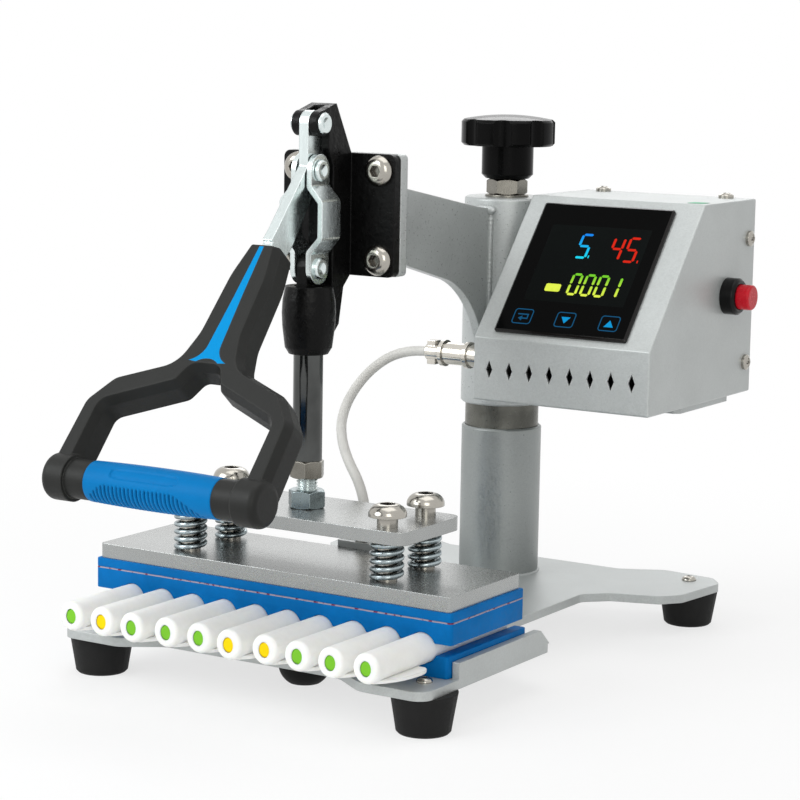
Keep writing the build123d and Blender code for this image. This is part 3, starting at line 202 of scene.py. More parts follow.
class PressThreads(bpy.types.PropertyGroup):
    """Screw threads."""

    pitch: size("Pitch", "Rise of the thread in one turn", 0.00175)
    depth: size("Depth", "Depth of the thread", 0.0009)
    steps: whole("Steps", "Steps in one turn", 36)


class PressFasteners(bpy.types.PropertyGroup):
    """Nuts of the plunger and the post, and screws of the box."""

    jam: size("Jam nut", "Upper nut of the plunger, across its flats", 0.0176)
    jam_turn: amount("Jam nut turn", "Degrees from X to one of its flats", -32.8)
    lower: size("Lower nut", "Lower nut of the plunger, across its flats", 0.0188)
    lower_turn: amount("Lower nut turn", "Degrees from X to one of its flats", -16.8)
    lock_turn: amount("Lock nut turn", "Degrees from X to one of the flats of the post's nut", -60.2)
    head: size("Screw head", "Radius of a box screw's head", 0.0047)
    rise: size("Screw rise", "Height of a box screw's head", 0.0034)
    cross: size("Cross", "Half length of the cross recess", 0.0024)


class PressWelds(bpy.types.PropertyGroup):
    """Weld beads under the paint."""

    radius: size("Radius", "Size of a bead's section", 0.0030)
    ripple: size("Ripple", "Distance between ripples", 0.0030)
    seam: size("Seam", "Size of the smoother beads between the arm and the sleeve", 0.0021)
    foot: size("Foot", "Size of the bead round the foot of the post", 0.0010)


class PressStage(bpy.types.PropertyGroup):
    """Floor, world and lamps."""

    key: amount("Key", "Power of the large lamp at the front left, in watts", 33.0)
    top: amount("Top", "Power of the lamp overhead, in watts", 11.0)
    side: amount("Side", "Power of the lamp at the front right, in watts", 11.5)
    back: amount("Back", "Power of the lamp behind, in watts", 8.0)
    ambient: amount("Ambient", "Strength of the even light from all round", 0.38)
    floor: amount("Floor", "Share of the floor's look that takes light and shadow", 0.30)


groups = {
    "press_camera": PressCamera,
    "press_colours": PressColours,
    "press_springs": PressSprings,
    "press_pads": PressPads,
    "press_wraps": PressWraps,
    "press_grip": PressGrip,
    "press_display": PressDisplay,
    "press_threads": PressThreads,
    "press_fasteners": PressFasteners,
    "press_welds": PressWelds,
    "press_stage": PressStage,
}


# ---- Shader nodes


def fill(tree, node, inputs):
    """Fills a node's inputs with values or links."""
    for key, value in inputs.items():
        if isinstance(value, bpy.types.NodeSocket):
            tree.links.new(value, node.inputs[key])
        else:
            node.inputs[key].default_value = value
    return node


def put(tree, kind, inputs=None, **settings):
    """Adds a node, sets its options and fills its inputs."""
    made = tree.nodes.new(kind)
    for key, value in settings.items():
        setattr(made, key, value)
    return fill(tree, made, inputs or {})


def use(tree, group, inputs):
    """Places a shader group in a tree."""
    return put(tree, "ShaderNodeGroup", inputs, node_tree=group)


def worked(tree, operation, *values):
    """Result of a calculation on values or links."""
    return put(tree, "ShaderNodeMath", dict(enumerate(values)), operation=operation).outputs[0]


def ranged(tree, value, low, high, to_low=0.0, to_high=1.0, **settings):
    """Value brought from one range to another."""
    inputs = {"Value": value, "From Min": low, "From Max": high, "To Min": to_low, "To Max": to_high}
    return put(tree, "ShaderNodeMapRange", inputs, **settings).outputs[0]


def noise(tree, where, scale, **rest):
    """Noise between 0 and 1."""
    inputs = {"Vector": where, "Scale": scale, **{key.title(): value for key, value in rest.items()}}
    return put(tree, "ShaderNodeTexNoise", inputs).outputs[0]


def shared_group(name, takes, gives):
    """Turns a function that wires a shader group into one that gives the group, wired on its first call."""
    def wrap(wire):
        def give():
            if name not in bpy.data.node_groups:
                tree = bpy.data.node_groups.new(name, "ShaderNodeTree")
                sockets = [("INPUT", *row) for row in takes] + [("OUTPUT", *row, None) for row in gives]
                for way, label, kind, default in sockets:
                    socket = tree.interface.new_socket(name=label, in_out=way,
                                                       socket_type="NodeSocket" + kind)
                    if default is not None:
                        socket.default_value = default
                wired = wire(tree, tree.nodes.new("NodeGroupInput").outputs)
                fill(tree, tree.nodes.new("NodeGroupOutput"), wired)
            return bpy.data.node_groups[name]
        return give
    return wrap


@shared_group("Soft edges", [("Radius", "Float", 0.0008)], [("Normal", "Vector"), ("Mask", "Float")])
def soft_edges(tree, given):
    """Normal rounded over near edges, and a mask of those edges."""
    bevel = put(tree, "ShaderNodeBevel", {"Radius": given["Radius"]}, samples=6).outputs[0]
    real = put(tree, "ShaderNodeNewGeometry").outputs["Normal"]
    alike = put(tree, "ShaderNodeVectorMath", {0: bevel, 1: real}, operation="DOT_PRODUCT").outputs["Value"]
    return {"Normal": bevel, "Mask": ranged(tree, alike, 0.995, 0.80)}


@shared_group("Speckle", [("Vector", "Vector", None), ("Scale", "Float", 900.0)],
              [("Mask", "Float"), ("Height", "Float")])
def speckle(tree, given):
    """Fine grains for paint, castings and moulded skins."""
    cells = put(tree, "ShaderNodeTexVoronoi", {"Vector": given["Vector"], "Scale": given["Scale"]})
    shade = put(tree, "ShaderNodeSeparateColor", {0: cells.outputs["Color"]}).outputs[0]
    wider = worked(tree, "MULTIPLY", given["Scale"], 0.45)
    coarse = noise(tree, given["Vector"], wider, detail=3.0, roughness=0.6)
    return {"Mask": worked(tree, "MULTIPLY", worked(tree, "ADD", shade, coarse), 0.5), "Height": coarse}


@shared_group("Streaks", [("Vector", "Vector", None), ("Stretch", "Vector", None), ("Scale", "Float", 800.0)],
              [("Mask", "Float"), ("Height", "Float")])
def streaks(tree, given):
    """Long fine scratches along the axis that the Stretch input shortens."""
    drawn = put(tree, "ShaderNodeVectorMath", {0: given["Vector"], 1: given["Stretch"]}, operation="MULTIPLY")
    fine = noise(tree, drawn.outputs[0], given["Scale"], detail=4.0, roughness=0.65)
    return {"Mask": ranged(tree, fine, 0.3, 0.7), "Height": fine}


@shared_group("Crevice", [("Distance", "Float", 0.004)], [("Mask", "Float")])
def crevice_shade(tree, given):
    """Mask of the object's own sockets, folds and inner corners, from ambient occlusion, which darkens the
    colour there as painted shade.
    """
    shade = put(tree, "ShaderNodeAmbientOcclusion", {"Distance": given["Distance"]}, samples=6,
                only_local=True)
    return {"Mask": ranged(tree, shade.outputs["AO"], 0.85, 0.25)}


@shared_group("Cloud", [("Vector", "Vector", None), ("Scale", "Float", 30.0)], [("Value", "Float")])
def cloud(tree, given):
    """Slow variation from handling and uneven coating."""
    drift = noise(tree, given["Vector"], given["Scale"], detail=4.0, roughness=0.55, distortion=0.4)
    return {"Value": ranged(tree, drift, 0.3, 0.7)}


def full(base, light=1.0):
    """Colour with an alpha of 1, made lighter or darker."""
    return tuple(min(1.0, part * light) for part in base) + (1.0,)


def grey(level):
    """Grey with an alpha of 1."""
    return (level, level, level, 1.0)


def colour_mix(tree, share, first, second, blend="MIX"):
    """Mix of two colours. The node's sockets are filled by place, as their names repeat."""
    made = put(tree, "ShaderNodeMix", {0: share, 6: first, 7: second}, data_type="RGBA", blend_type=blend)
    return made.outputs[2]


def toned(tree, tone, share, low, high):
    """Colour darkened by a grey that goes from low to high."""
    return colour_mix(tree, 1.0, tone, colour_mix(tree, share, grey(low), grey(high)), "MULTIPLY")


def new_material(name):
    """Material with its node tree and its shader."""
    made = bpy.data.materials.new(name)
    made.use_nodes = True
    return made, made.node_tree, made.node_tree.nodes["Principled BSDF"]


def surface(name, base, rough, dark=0.85, light=1.12, grain=700.0, relief=0.00002, swing=0.08, clouds=35.0,
            edge=0.0006, shine_edge=0.0, edge_light=1.9, hollow=0.0, depth=0.004, stretch=None, marks=None,
            **plain):
    """Material with slow variation, fine grain, softened edges, a painted highlight along the edges and
    painted shade in the hollows.

    The plain values go straight on to the shader's own sockets.
    """
    tree, shader = new_material(name)[1:]
    for key, value in plain.items():
        fill(tree, shader, {key.replace("_", " ").title().replace("Ior", "IOR"): value})
    where = put(tree, "ShaderNodeTexCoord").outputs["Object"]
    slow = use(tree, cloud(), {"Vector": where, "Scale": clouds}).outputs["Value"]
    if stretch:
        fine = use(tree, streaks(), {"Vector": where, "Stretch": stretch, "Scale": grain}).outputs
    else:
        fine = use(tree, speckle(), {"Vector": where, "Scale": grain}).outputs
    soft = use(tree, soft_edges(), {"Radius": edge}).outputs
    tone = colour_mix(tree, slow, full(base, dark), full(base, light))
    tone = toned(tree, tone, fine["Mask"], 1 - swing, 1.0)
    # Painted highlight: a lighter copy of the colour is laid along the edges, standing in for light catching
    # them.
    if shine_edge:
        share = worked(tree, "MULTIPLY", soft["Mask"], shine_edge)
        tone = colour_mix(tree, share, tone, full(base, edge_light))
    # Painted shade: the colour is darkened towards full(base, 0.08) in the object's own sockets, folds and
    # inner corners, where shade falls.
    if hollow:
        deep = use(tree, crevice_shade(), {"Distance": depth}).outputs["Mask"]
        tone = colour_mix(tree, worked(tree, "MULTIPLY", deep, hollow), tone, full(base, 0.08))
    if marks:
        tone = marks(tree, where, tone)
    uneven = ranged(tree, fine["Mask"], 0.0, 1.0, max(0.02, rough - swing), min(1.0, rough + swing))
    bump = put(tree, "ShaderNodeBump", {"Height": fine["Height"], "Strength": 1.0, "Distance": relief,
                                        "Normal": soft["Normal"]})
    fill(tree, shader, {"Base Color": tone, "Roughness": uneven, "Normal": bump.outputs[0]})


def glued_seam(tree, where, tone):
    """Pale line of glue with red specks where the two upper pads meet."""
    height = put(tree, "ShaderNodeSeparateXYZ", {0: where}).outputs[2]
    wave = worked(tree, "MULTIPLY_ADD", noise(tree, where, 90.0), 0.0004, -0.0002)
    level = worked(tree, "ADD", height, wave)
    line = worked(tree, "MULTIPLY", worked(tree, "GREATER_THAN", level, 0.0574),
                  worked(tree, "LESS_THAN", level, 0.0582))
    red = ranged(tree, noise(tree, where, 260.0, detail=2.0), 0.54, 0.60)
    paint = colour_mix(tree, red, (0.42, 0.36, 0.42, 1.0), (0.22, 0.03, 0.05, 1.0))
    return colour_mix(tree, line, tone, paint)


def glow_surface(name, foot, top, low, high, strength):
    """Uneven lit shape behind the display's glass, whose colour turns from its foot to its top."""
    made, tree, shader = new_material(name)
    where = put(tree, "ShaderNodeTexCoord").outputs["Object"]
    height = put(tree, "ShaderNodeSeparateXYZ", {0: where}).outputs[2]
    slow = use(tree, cloud(), {"Vector": where, "Scale": 260.0}).outputs["Value"]
    tone = colour_mix(tree, ranged(tree, height, low, high), full(foot), full(top))
    tone = toned(tree, tone, slow, 0.88, 1.0)
    fill(tree, shader, {"Emission Color": tone, "Base Color": toned(tree, tone, slow, 0.01, 0.02),
                        "Emission Strength": strength, "Roughness": 0.35, "Specular IOR Level": 0.03})
    return made


def finishes(context):
    """All materials of the press, by the name of the finish."""
    if "Silver paint" in bpy.data.materials:
        return bpy.data.materials
    tint = context.scene.press_colours
    # The edge highlight values lay a painted highlight, a lighter copy of the colour, along the edges.
    silver = dict(dark=0.94, light=1.05, grain=1250.0, relief=0.00002, swing=0.20, clouds=18.0, metallic=0.35,
                  specular_ior_level=0.4)
    surface("Silver paint", tint.silver, 0.42, edge=0.0009, shine_edge=0.12, **silver)
    surface("Silver casting paint", tint.silver, 0.38, edge=0.0012, shine_edge=0.15, **silver)
    surface("Post paint", tint.post, 0.40, edge=0.0008, shine_edge=0.15, **{**silver, "metallic": 0.6})
    surface("Platen metal", tint.platen, 0.27, dark=0.90, light=1.08, grain=1800.0, relief=0.0000012,
            swing=0.02, clouds=14.0, edge=0.0006, shine_edge=0.3, metallic=0.8)
    # The hollow shade values lay painted shade in the parts' own sockets, folds and inner corners.
    surface("Zinc plate", tint.zinc, 0.25, dark=0.94, light=1.04, grain=900.0, relief=0.000004, swing=0.04,
            clouds=60.0, stretch=(1.0, 0.6, 0.12), edge=0.0007, shine_edge=0.25, hollow=0.3, depth=0.003,
            metallic=1.0)
    nut = dict(dark=0.85, light=1.15, grain=900.0, relief=0.000005, swing=0.05, clouds=70.0,
               stretch=(1.0, 1.0, 0.3), edge=0.0005, shine_edge=0.6, edge_light=2.6, hollow=0.5, metallic=1.0)
    surface("Nut steel", tint.nut, 0.28, **nut)
    surface("Zinc nut", tint.lower_nut, 0.28, **nut)
    surface("Bright steel", tint.bright, 0.20, dark=0.92, light=1.05, grain=1200.0, relief=0.000004,
            swing=0.05, edge=0.0005, shine_edge=0.25, hollow=0.95, depth=0.005, metallic=1.0)
    surface("Rod steel", tint.rod, 0.12, dark=0.80, light=1.2, grain=1400.0, relief=0.000004, swing=0.04,
            stretch=(1.0, 1.0, 0.25), clouds=45.0, edge=0.0004, metallic=1.0)
    surface("Shaft steel", tint.shaft, 0.34, dark=0.70, light=1.30, grain=1100.0, relief=0.00002,
            swing=0.14, clouds=60.0, edge=0.0006, shine_edge=0.3, metallic=0.9)
    surface("Spring steel", tint.spring, 0.25, dark=0.8, light=1.15, grain=1500.0, relief=0.000006,
            swing=0.07, metallic=1.0, edge=0.0002, hollow=0.7, depth=0.003)
    surface("Nickel plate", tint.nickel, 0.17, dark=0.86, light=1.08, grain=1300.0, relief=0.000006,
            swing=0.06, edge=0.0006, shine_edge=0.2, hollow=0.8, metallic=1.0)
    surface("Black casting", tint.casting, 0.34, dark=0.7, light=1.5, grain=620.0, relief=0.00045,
            swing=0.14, clouds=50.0, edge=0.0012, shine_edge=0.35, edge_light=3.0, specular_ior_level=0.12)
    surface("Handle plastic", tint.handle, 0.48, dark=0.88, light=1.15, grain=1700.0, relief=0.00006,
            swing=0.09, edge=0.0014, shine_edge=0.6, edge_light=3.5, specular_ior_level=0.2)
    surface("Knob plastic", tint.knob, 0.17, dark=0.85, light=1.2, grain=900.0, relief=0.00001, swing=0.05,
            edge=0.0010, shine_edge=0.3, edge_light=3.0, specular_ior_level=0.07)
    surface("Black plastic", tint.knob, 0.16, dark=0.85, light=1.3, grain=1400.0, relief=0.00001,
            swing=0.05, edge=0.0012, shine_edge=0.3, edge_light=3.0, specular_ior_level=0.18)
    surface("Rubber", tint.rubber, 0.62, dark=0.85, light=1.25, grain=900.0, relief=0.00006, swing=0.10,
            edge=0.0010, shine_edge=0.4, specular_ior_level=0.15)
    surface("Blue silicone", tint.silicone, 0.52, dark=0.90, light=1.12, grain=520.0, relief=0.00007,
            swing=0.10, clouds=40.0, edge=0.0005, shine_edge=0.2, marks=glued_seam, specular_ior_level=0.08,
            subsurface_weight=0.05, subsurface_radius=(0.001, 0.002, 0.004), subsurface_scale=1.0)
    surface("Grip rubber", tint.grip, 0.47, dark=0.93, light=1.06, grain=1500.0, relief=0.00003, swing=0.06,
            edge=0.0003, shine_edge=0.15, hollow=0.75, depth=0.002, specular_ior_level=0.08)
    surface("Blue inlay", tint.inlay, 0.38, dark=0.95, light=1.05, grain=1500.0, relief=0.00002, swing=0.05,
            edge=0.0004, specular_ior_level=0.08)
    surface("White silicone", tint.wrap, 0.52, dark=0.97, light=1.02, grain=420.0, relief=0.00005,
            swing=0.04, clouds=55.0, edge=0.0008, subsurface_weight=0.2,
            subsurface_radius=(0.004, 0.003, 0.002), subsurface_scale=1.0, specular_ior_level=0.3)
    surface("White lead", tint.lead, 0.55, dark=0.93, light=1.04, grain=900.0, relief=0.00008, swing=0.06,
            clouds=70.0, edge=0.0003)
    surface("Green pen", tint.green, 0.35, dark=0.95, light=1.05, grain=900.0, relief=0.00001, swing=0.04,
            edge=0.0005, specular_ior_level=0.15)
    surface("Yellow pen", tint.yellow, 0.35, dark=0.96, light=1.03, grain=900.0, relief=0.00001, swing=0.04,
            edge=0.0005, specular_ior_level=0.12)
    surface("Red button", tint.red, 0.25, dark=0.85, light=1.15, grain=700.0, relief=0.00002, swing=0.06,
            edge=0.0006, shine_edge=0.2, specular_ior_level=0.25)
    surface("Display glass", tint.glass, 0.09, dark=0.9, light=1.2, grain=400.0, relief=0.000002,
            swing=0.03, edge=0.0003, specular_ior_level=0.035)
    surface("Display rim", (0.006, 0.005, 0.0045), 0.16, dark=0.9, light=1.2, grain=900.0, relief=0.000004,
            swing=0.05, edge=0.0003, specular_ior_level=0.25)
    surface("Display film", (0.0022, 0.0034, 0.0032), 0.22, dark=0.85, light=1.15, grain=1200.0,
            relief=0.000003, swing=0.04, edge=0.0003, specular_ior_level=0.035)
    surface("Green sticker", (0.03, 0.36, 0.17), 0.40, dark=0.93, light=1.05, grain=900.0, relief=0.00001,
            swing=0.05, edge=0.0003, specular_ior_level=0.2)
    return bpy.data.materials


# ---- Mesh helpers


def add_object(name, data):
    """Object in the scene's own collection."""
    made = bpy.data.objects.new(name, data)
    bpy.context.scene.collection.objects.link(made)
    return made


def settle(name, bm, body, finish, stands_for=(), crease=35.0):
    """Turns a bmesh into a finished piece, which rides on its body if one is named."""
    bmesh.ops.remove_doubles(bm, verts=bm.verts, dist=1e-7)
    bmesh.ops.recalc_face_normals(bm, faces=bm.faces)
    for face in bm.faces:
        face.smooth = True
    mesh = bpy.data.meshes.new(name)
    bm.to_mesh(mesh)
    bm.free()
    mesh.set_sharp_from_angle(angle=math.radians(crease))
    mesh.materials.append(finish)
    piece = add_object(name, mesh)
    if body:
        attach(piece, body)
    if stands_for:
        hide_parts(*stands_for)
    return piece


def cap_ends(bm):
    """Closes every open edge loop."""
    rim = [edge for edge in bm.edges if edge.is_boundary]
    bmesh.ops.holes_fill(bm, edges=rim, sides=0)


def soften(bm, parts, offset, segments=2, affect="EDGES"):
    """Rounds the given edges, or the corners of a flat face."""
    bmesh.ops.bevel(bm, geom=list(parts), offset=offset, offset_type="OFFSET", affect=affect,
                    segments=segments, profile=0.5, material=-1, clamp_overlap=True)


def points_of(parts):
    """Only the points among an operator's results."""
    return [part for part in parts if isinstance(part, bmesh.types.BMVert)]


def pushed(bm, face, way):
    """Extrudes a face into a solid along a vector."""
    grown = bmesh.ops.extrude_face_region(bm, geom=[face], use_keep_orig=True)["geom"]
    bmesh.ops.translate(bm, verts=points_of(grown), vec=way)


def slab(bm, places, way):
    """Solid between a flat outline and its copy along a vector."""
    pushed(bm, bm.faces.new([bm.verts.new(place) for place in places]), way)


def arc_from(bm, start, centre, axis, angle, steps):
    """Draws an arc from a point and gives its last point."""
    arc = bmesh.ops.spin(bm, geom=[start], cent=centre, axis=axis, dvec=(0, 0, 0), angle=angle, steps=steps,
                         use_merge=False, use_duplicate=False)
    return points_of(arc["geom_last"])[0]


def turned(bm, centre, axis, steps):
    """Turns the whole drawing once round an axis."""
    bmesh.ops.spin(bm, geom=bm.verts[:] + bm.edges[:], cent=centre, axis=axis, dvec=(0, 0, 0),
                   angle=2 * math.pi, steps=steps, use_merge=True, use_duplicate=False)


def cut_off(bm, point, way):
    """Cuts away what lies beyond a plane."""
    bmesh.ops.bisect_plane(bm, geom=bm.verts[:] + bm.edges[:] + bm.faces[:], dist=1e-8, plane_co=point,
                           plane_no=way, clear_outer=True)


def merge_in(bm, other):
    """Adds another bmesh to this one and frees it."""
    mesh = bpy.data.meshes.new("drawing")
    other.to_mesh(mesh)
    other.free()
    bm.from_mesh(mesh)
    bpy.data.meshes.remove(mesh)


def pen_places(pads):
    """Place of each pen along X."""
    return [pads.shift + pads.pitch * (i - (pads.pens - 1) / 2) for i in range(pads.pens)]


# ---- Operators


class PRESS_OT_camera(bpy.types.Operator):
    """Add the camera at the photograph's place"""

    bl_idname = "press.camera"
    bl_label = "Camera"

    def execute(self, context):
        seen = context.scene.press_camera
        lens = bpy.data.cameras.new("press_camera")
        lens.lens = seen.lens
        lens.sensor_width = 36.0
        lens.clip_start = 0.05
        lens.clip_end = 100.0
        eye = add_object("press_camera", lens)
        eye.matrix_world = (Matrix.Translation(seen.place) @ Matrix.Rotation(math.radians(seen.turn), 4, "Z")
                            @ Matrix.Rotation(math.radians(90 - seen.tip), 4, "X")
                            @ Matrix.Rotation(math.radians(seen.roll), 4, "Z"))
        context.scene.camera = eye
        return {"FINISHED"}


class PRESS_OT_lead(bpy.types.Operator):
    """Run the white heater lead from its plug on the box to the gland, which rises with the plunger"""

    bl_idname = "press.lead"
    bl_label = "Heater lead"

    def execute(self, context):
        route = [
            (-0.012, 0.147, 0.172),
            (-0.030, 0.147, 0.172),
            (-0.048, 0.135, 0.1586),
            (-0.039, 0.093, 0.1402),
            (-0.014, 0.0555, 0.125),
            (0.0107, 0.045, 0.1006),
            (0.0107, 0.045, 0.081),
        ]
        curve = bpy.data.curves.new("heater_lead", "CURVE")
        curve.dimensions = "3D"
        curve.resolution_u = 16
        line = curve.splines.new("NURBS")
        line.points.add(len(route) - 1)
        for point, place in zip(line.points, route):
            point.co = (*place, 1.0)
        line.order_u = 3
        line.use_endpoint_u = True
        drawn = bpy.data.objects.new("heater_lead_line", curve)
        followed = [vert.co.copy() for vert in bpy.data.meshes.new_from_object(drawn).vertices]
        curve.bevel_depth = 0.003
        curve.bevel_resolution = 6
        curve.use_fill_caps = True
        bm = bmesh.new()
        bm.from_mesh(bpy.data.meshes.new_from_object(drawn))
        bpy.data.objects.remove(drawn)
        lead = settle("heater_lead", bm, None, finishes(context)["White lead"],
                      ("heater_cable",), crease=60.0)
        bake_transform(lead)
        return {"FINISHED"}


class PRESS_OT_cad_finishes(bpy.types.Operator):
    """Give every rigid part its finish"""

    bl_idname = "press.cad_finishes"
    bl_label = "Finishes"

    worn_by = {
        "Silver paint": ("base_plate", "box_shell", "box_back", "box_bracket", "terminal_cover"),
        "Silver casting paint": ("arm_plate", "end_plate", "head_sleeve"),
        "Platen metal": ("heater_plate", "carrier_plate"),
        "Zinc plate": ("lever_plate", "crank_pin", "lever_pin", "link_plates", "link_studs", "tongue_pin",
                       "grip_core"),
        "Nut steel": ("lock_washer",),
        "Bright steel": ("flange_bolts", "guide_bolts", "foot_screws"),
        "Rod steel": ("plunger_rod",),
        "Post paint": ("post_tube",),
        "Shaft steel": ("inner_shaft",),
        "Nickel plate": ("plug_socket", "cable_plug", "cable_gland"),
        "Black casting": ("toggle_casting", "plunger_tongue"),
        "Handle plastic": ("handle_yoke",),
        "Knob plastic": ("star_knob",),
        "Black plastic": ("button_bezel", "inlet_socket", "switch_frame", "power_rocker",
                          "controller_module"),
        "Rubber": ("rubber_feet", "centre_foot"),
        "Blue inlay": ("handle_inlay",),
        "Green pen": ("pens_green",),
        "Yellow pen": ("pens_yellow",),
        "Red button": ("button_cap",),
    }

    def execute(self, context):
        ready = finishes(context)
        for finish, names in self.worn_by.items():
            for name in names:
                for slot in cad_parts[name].material_slots:
                    slot.material = ready[finish]
        return {"FINISHED"}


class PRESS_OT_springs(bpy.types.Operator):
    """Wind the four platen springs"""

    bl_idname = "press.springs"
    bl_label = "Platen springs"

    def execute(self, context):
        plan = context.scene.press_springs
        low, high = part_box("platen_springs")
        half_x = high.x - plan.coil - plan.wire
        half_y = high.y - plan.coil - plan.wire
        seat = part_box("carrier_plate")[0].z
        bm = bmesh.new()
        for x in (-half_x, half_x):
            for y in (-half_y, half_y):
                self.wind(bm, plan, x, y, low.z + plan.wire, seat - low.z - 2 * plan.wire)
        cap_ends(bm)
        piece = settle("platen_coils", bm, "plunger", finishes(context)["Spring steel"],
                       ("platen_springs",), crease=60.0)
        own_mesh(piece)
        return {"FINISHED"}

    def wind(self, bm, plan, x, y, start, rise):
        """One coil with level ends, spun step by step up from its first section."""
        place = Matrix.Translation((x - plan.coil, y, start)) @ Matrix.Rotation(math.radians(90), 4, "X")
        ring = bmesh.ops.create_circle(bm, cap_ends=False, segments=14, radius=plan.wire,
                                       matrix=place)["verts"]
        loop = ring + list({edge for vert in ring for edge in vert.link_edges})
        pitch = rise / (plan.turns - plan.ramp)
        count = round(plan.turns * plan.steps)
        for i in range(count):
            turn = (i + 0.5) / plan.steps
            near_end = min(turn, plan.turns - turn)
            climb = pitch / plan.steps * min(1.0, near_end / plan.ramp)
            loop = bmesh.ops.spin(bm, geom=loop, cent=(x, y, 0), axis=(0, 0, 1), dvec=(0, 0, climb),
                                  angle=2 * math.pi / plan.steps, steps=1, use_merge=False,
                                  use_duplicate=False)["geom_last"]


class PRESS_OT_pads(bpy.types.Operator):
    """Make the three blue silicone pads with their grooves"""

    bl_idname = "press.pads"
    bl_label = "Silicone pads"

    def execute(self, context):
        pads = context.scene.press_pads
        blue = finishes(context)["Blue silicone"]
        for name, node, body, grooved in (("bed_pad", "lower_pad", "frame", "top"),
                                          ("press_pad", "upper_pad_grooved", "platen", "bottom"),
                                          ("backing_pad", "upper_pad_thin", "platen", None)):
            bm = bmesh.new()
            self.shape(bm, pads, *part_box(node), grooved)
            piece = settle(name, bm, body, blue, (node,))
        return {"FINISHED"}

    def shape(self, bm, pads, low, high, grooved):
        """Pad in a box, scalloped along its top or bottom for the pens."""
        flat, cut = (low.z, high.z) if grooved == "top" else (high.z, low.z)
        line = [bm.verts.new((low.x, low.y, flat)), bm.verts.new((low.x, low.y, cut))]
        if grooved:
            reach = math.sqrt(pads.groove ** 2 - (cut - pads.axis) ** 2)
            half_turn = math.atan2(reach, abs(cut - pads.axis))
            turn = 2 * half_turn if grooved == "top" else -2 * half_turn
            for x in pen_places(pads):
                first = bm.verts.new((x - reach, low.y, cut))
                line += [first, arc_from(bm, first, (x, low.y, pads.axis), (0, -1, 0), turn, 14)]
        line += [bm.verts.new((high.x, low.y, cut)), bm.verts.new((high.x, low.y, flat))]
        for i in range(1, len(line), 2):
            bm.edges.new((line[i], line[(i + 1) % len(line)]))
        bm.edges.new((line[0], line[1]))
        bm.edges.new((line[-2], line[-1]))
        face = bmesh.ops.contextual_create(bm, geom=bm.edges[:])["faces"][0]
        pushed(bm, face, Vector((0, high.y - low.y, 0)))
        corners = [edge for edge in bm.edges
                   if abs(edge.verts[0].co.x - edge.verts[1].co.x) < 1e-6
                   and abs(edge.verts[0].co.y - edge.verts[1].co.y) < 1e-6
                   and min(abs(edge.verts[0].co.x - low.x), abs(edge.verts[0].co.x - high.x)) < 1e-6]
        soften(bm, corners, pads.corner, 5)
        sharp = [edge for edge in bm.edges if len(edge.link_faces) == 2
                 and edge.calc_face_angle(0) > math.radians(40)]
        soften(bm, sharp, pads.edge)


class PRESS_OT_wraps(bpy.types.Operator):
    """Roll the white sleeves round the pens"""

    bl_idname = "press.wraps"
    bl_label = "Pen sleeves"

    steps = (1.5, 1.0, 0.0, 2.5, 3.0, 0.5, 3.0, 2.0, 1.0, 1.5)

    def execute(self, context):
        pads = context.scene.press_pads
        plan = context.scene.press_wraps
        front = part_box("pen_wraps")[0].y
        bm = bmesh.new()
        for x, step in zip(pen_places(pads), self.steps):
            at = Vector((x, front + step * mm, pads.axis))
            self.sleeve(bm, plan, at)
            self.tail(bm, plan, at)
        piece = settle("pen_sleeves", bm, "pens", finishes(context)["White silicone"],
                       ("pen_wraps",), crease=50.0)
        return {"FINISHED"}

    def sleeve(self, bm, plan, at):
        """Thick tube with a full round front rim and a thin lip in front of the pen's end."""
        tube = bmesh.new()
        middle = plan.outer - plan.rim
        start = tube.verts.new(at + Vector((0, 0, middle)))
        end = arc_from(tube, start, at + Vector((0, plan.rim, middle)), (-1, 0, 0), math.radians(90), 8)
        line = [end] + [tube.verts.new(at + Vector((0, y, z))) for y, z in (
            (plan.long, plan.outer), (plan.long, plan.inner), (plan.lip_thick, plan.inner),
            (plan.lip_thick, plan.lip), (0.3 * plan.lip_thick, plan.lip))] + [start]
        for pair in zip(line, line[1:]):
            tube.edges.new(pair)
        turned(tube, at, (0, 1, 0), 40)
        for vert in tube.verts:
            off = vert.co - at
            if math.hypot(off.x, off.z) < plan.lip * 1.01 and off.y <= plan.lip_thick * 1.01:
                vert.co.x = at.x + off.x * plan.lip_narrow
        merge_in(bm, tube)

    def tail(self, bm, plan, at):
        """Loose tail of the sleeve, lying flat to the right under it."""
        under = at + Vector((0, 0, -plan.outer))
        back = plan.tail_long
        outline = [(0.0, 0.0016), (0.3, 0.0042), (0.55, 0.0088), (0.74, 0.0140), (0.88, 0.0195),
                   (0.95, 0.0250), (1.0, 0.0320), (0.97, 0.0370), (0.88, 0.0400), (0.72, back), (0.0, back)]
        corners = [bm.verts.new(under + Vector((share * plan.reach, y, 0))) for share, y in outline]
        pushed(bm, bm.faces.new(corners), Vector((0, 0, plan.tail)))
        flat = {edge for vert in corners for edge in vert.link_edges
                if abs(edge.verts[0].co.z - edge.verts[1].co.z) < 1e-6}
        soften(bm, flat, plan.tail * 0.3)


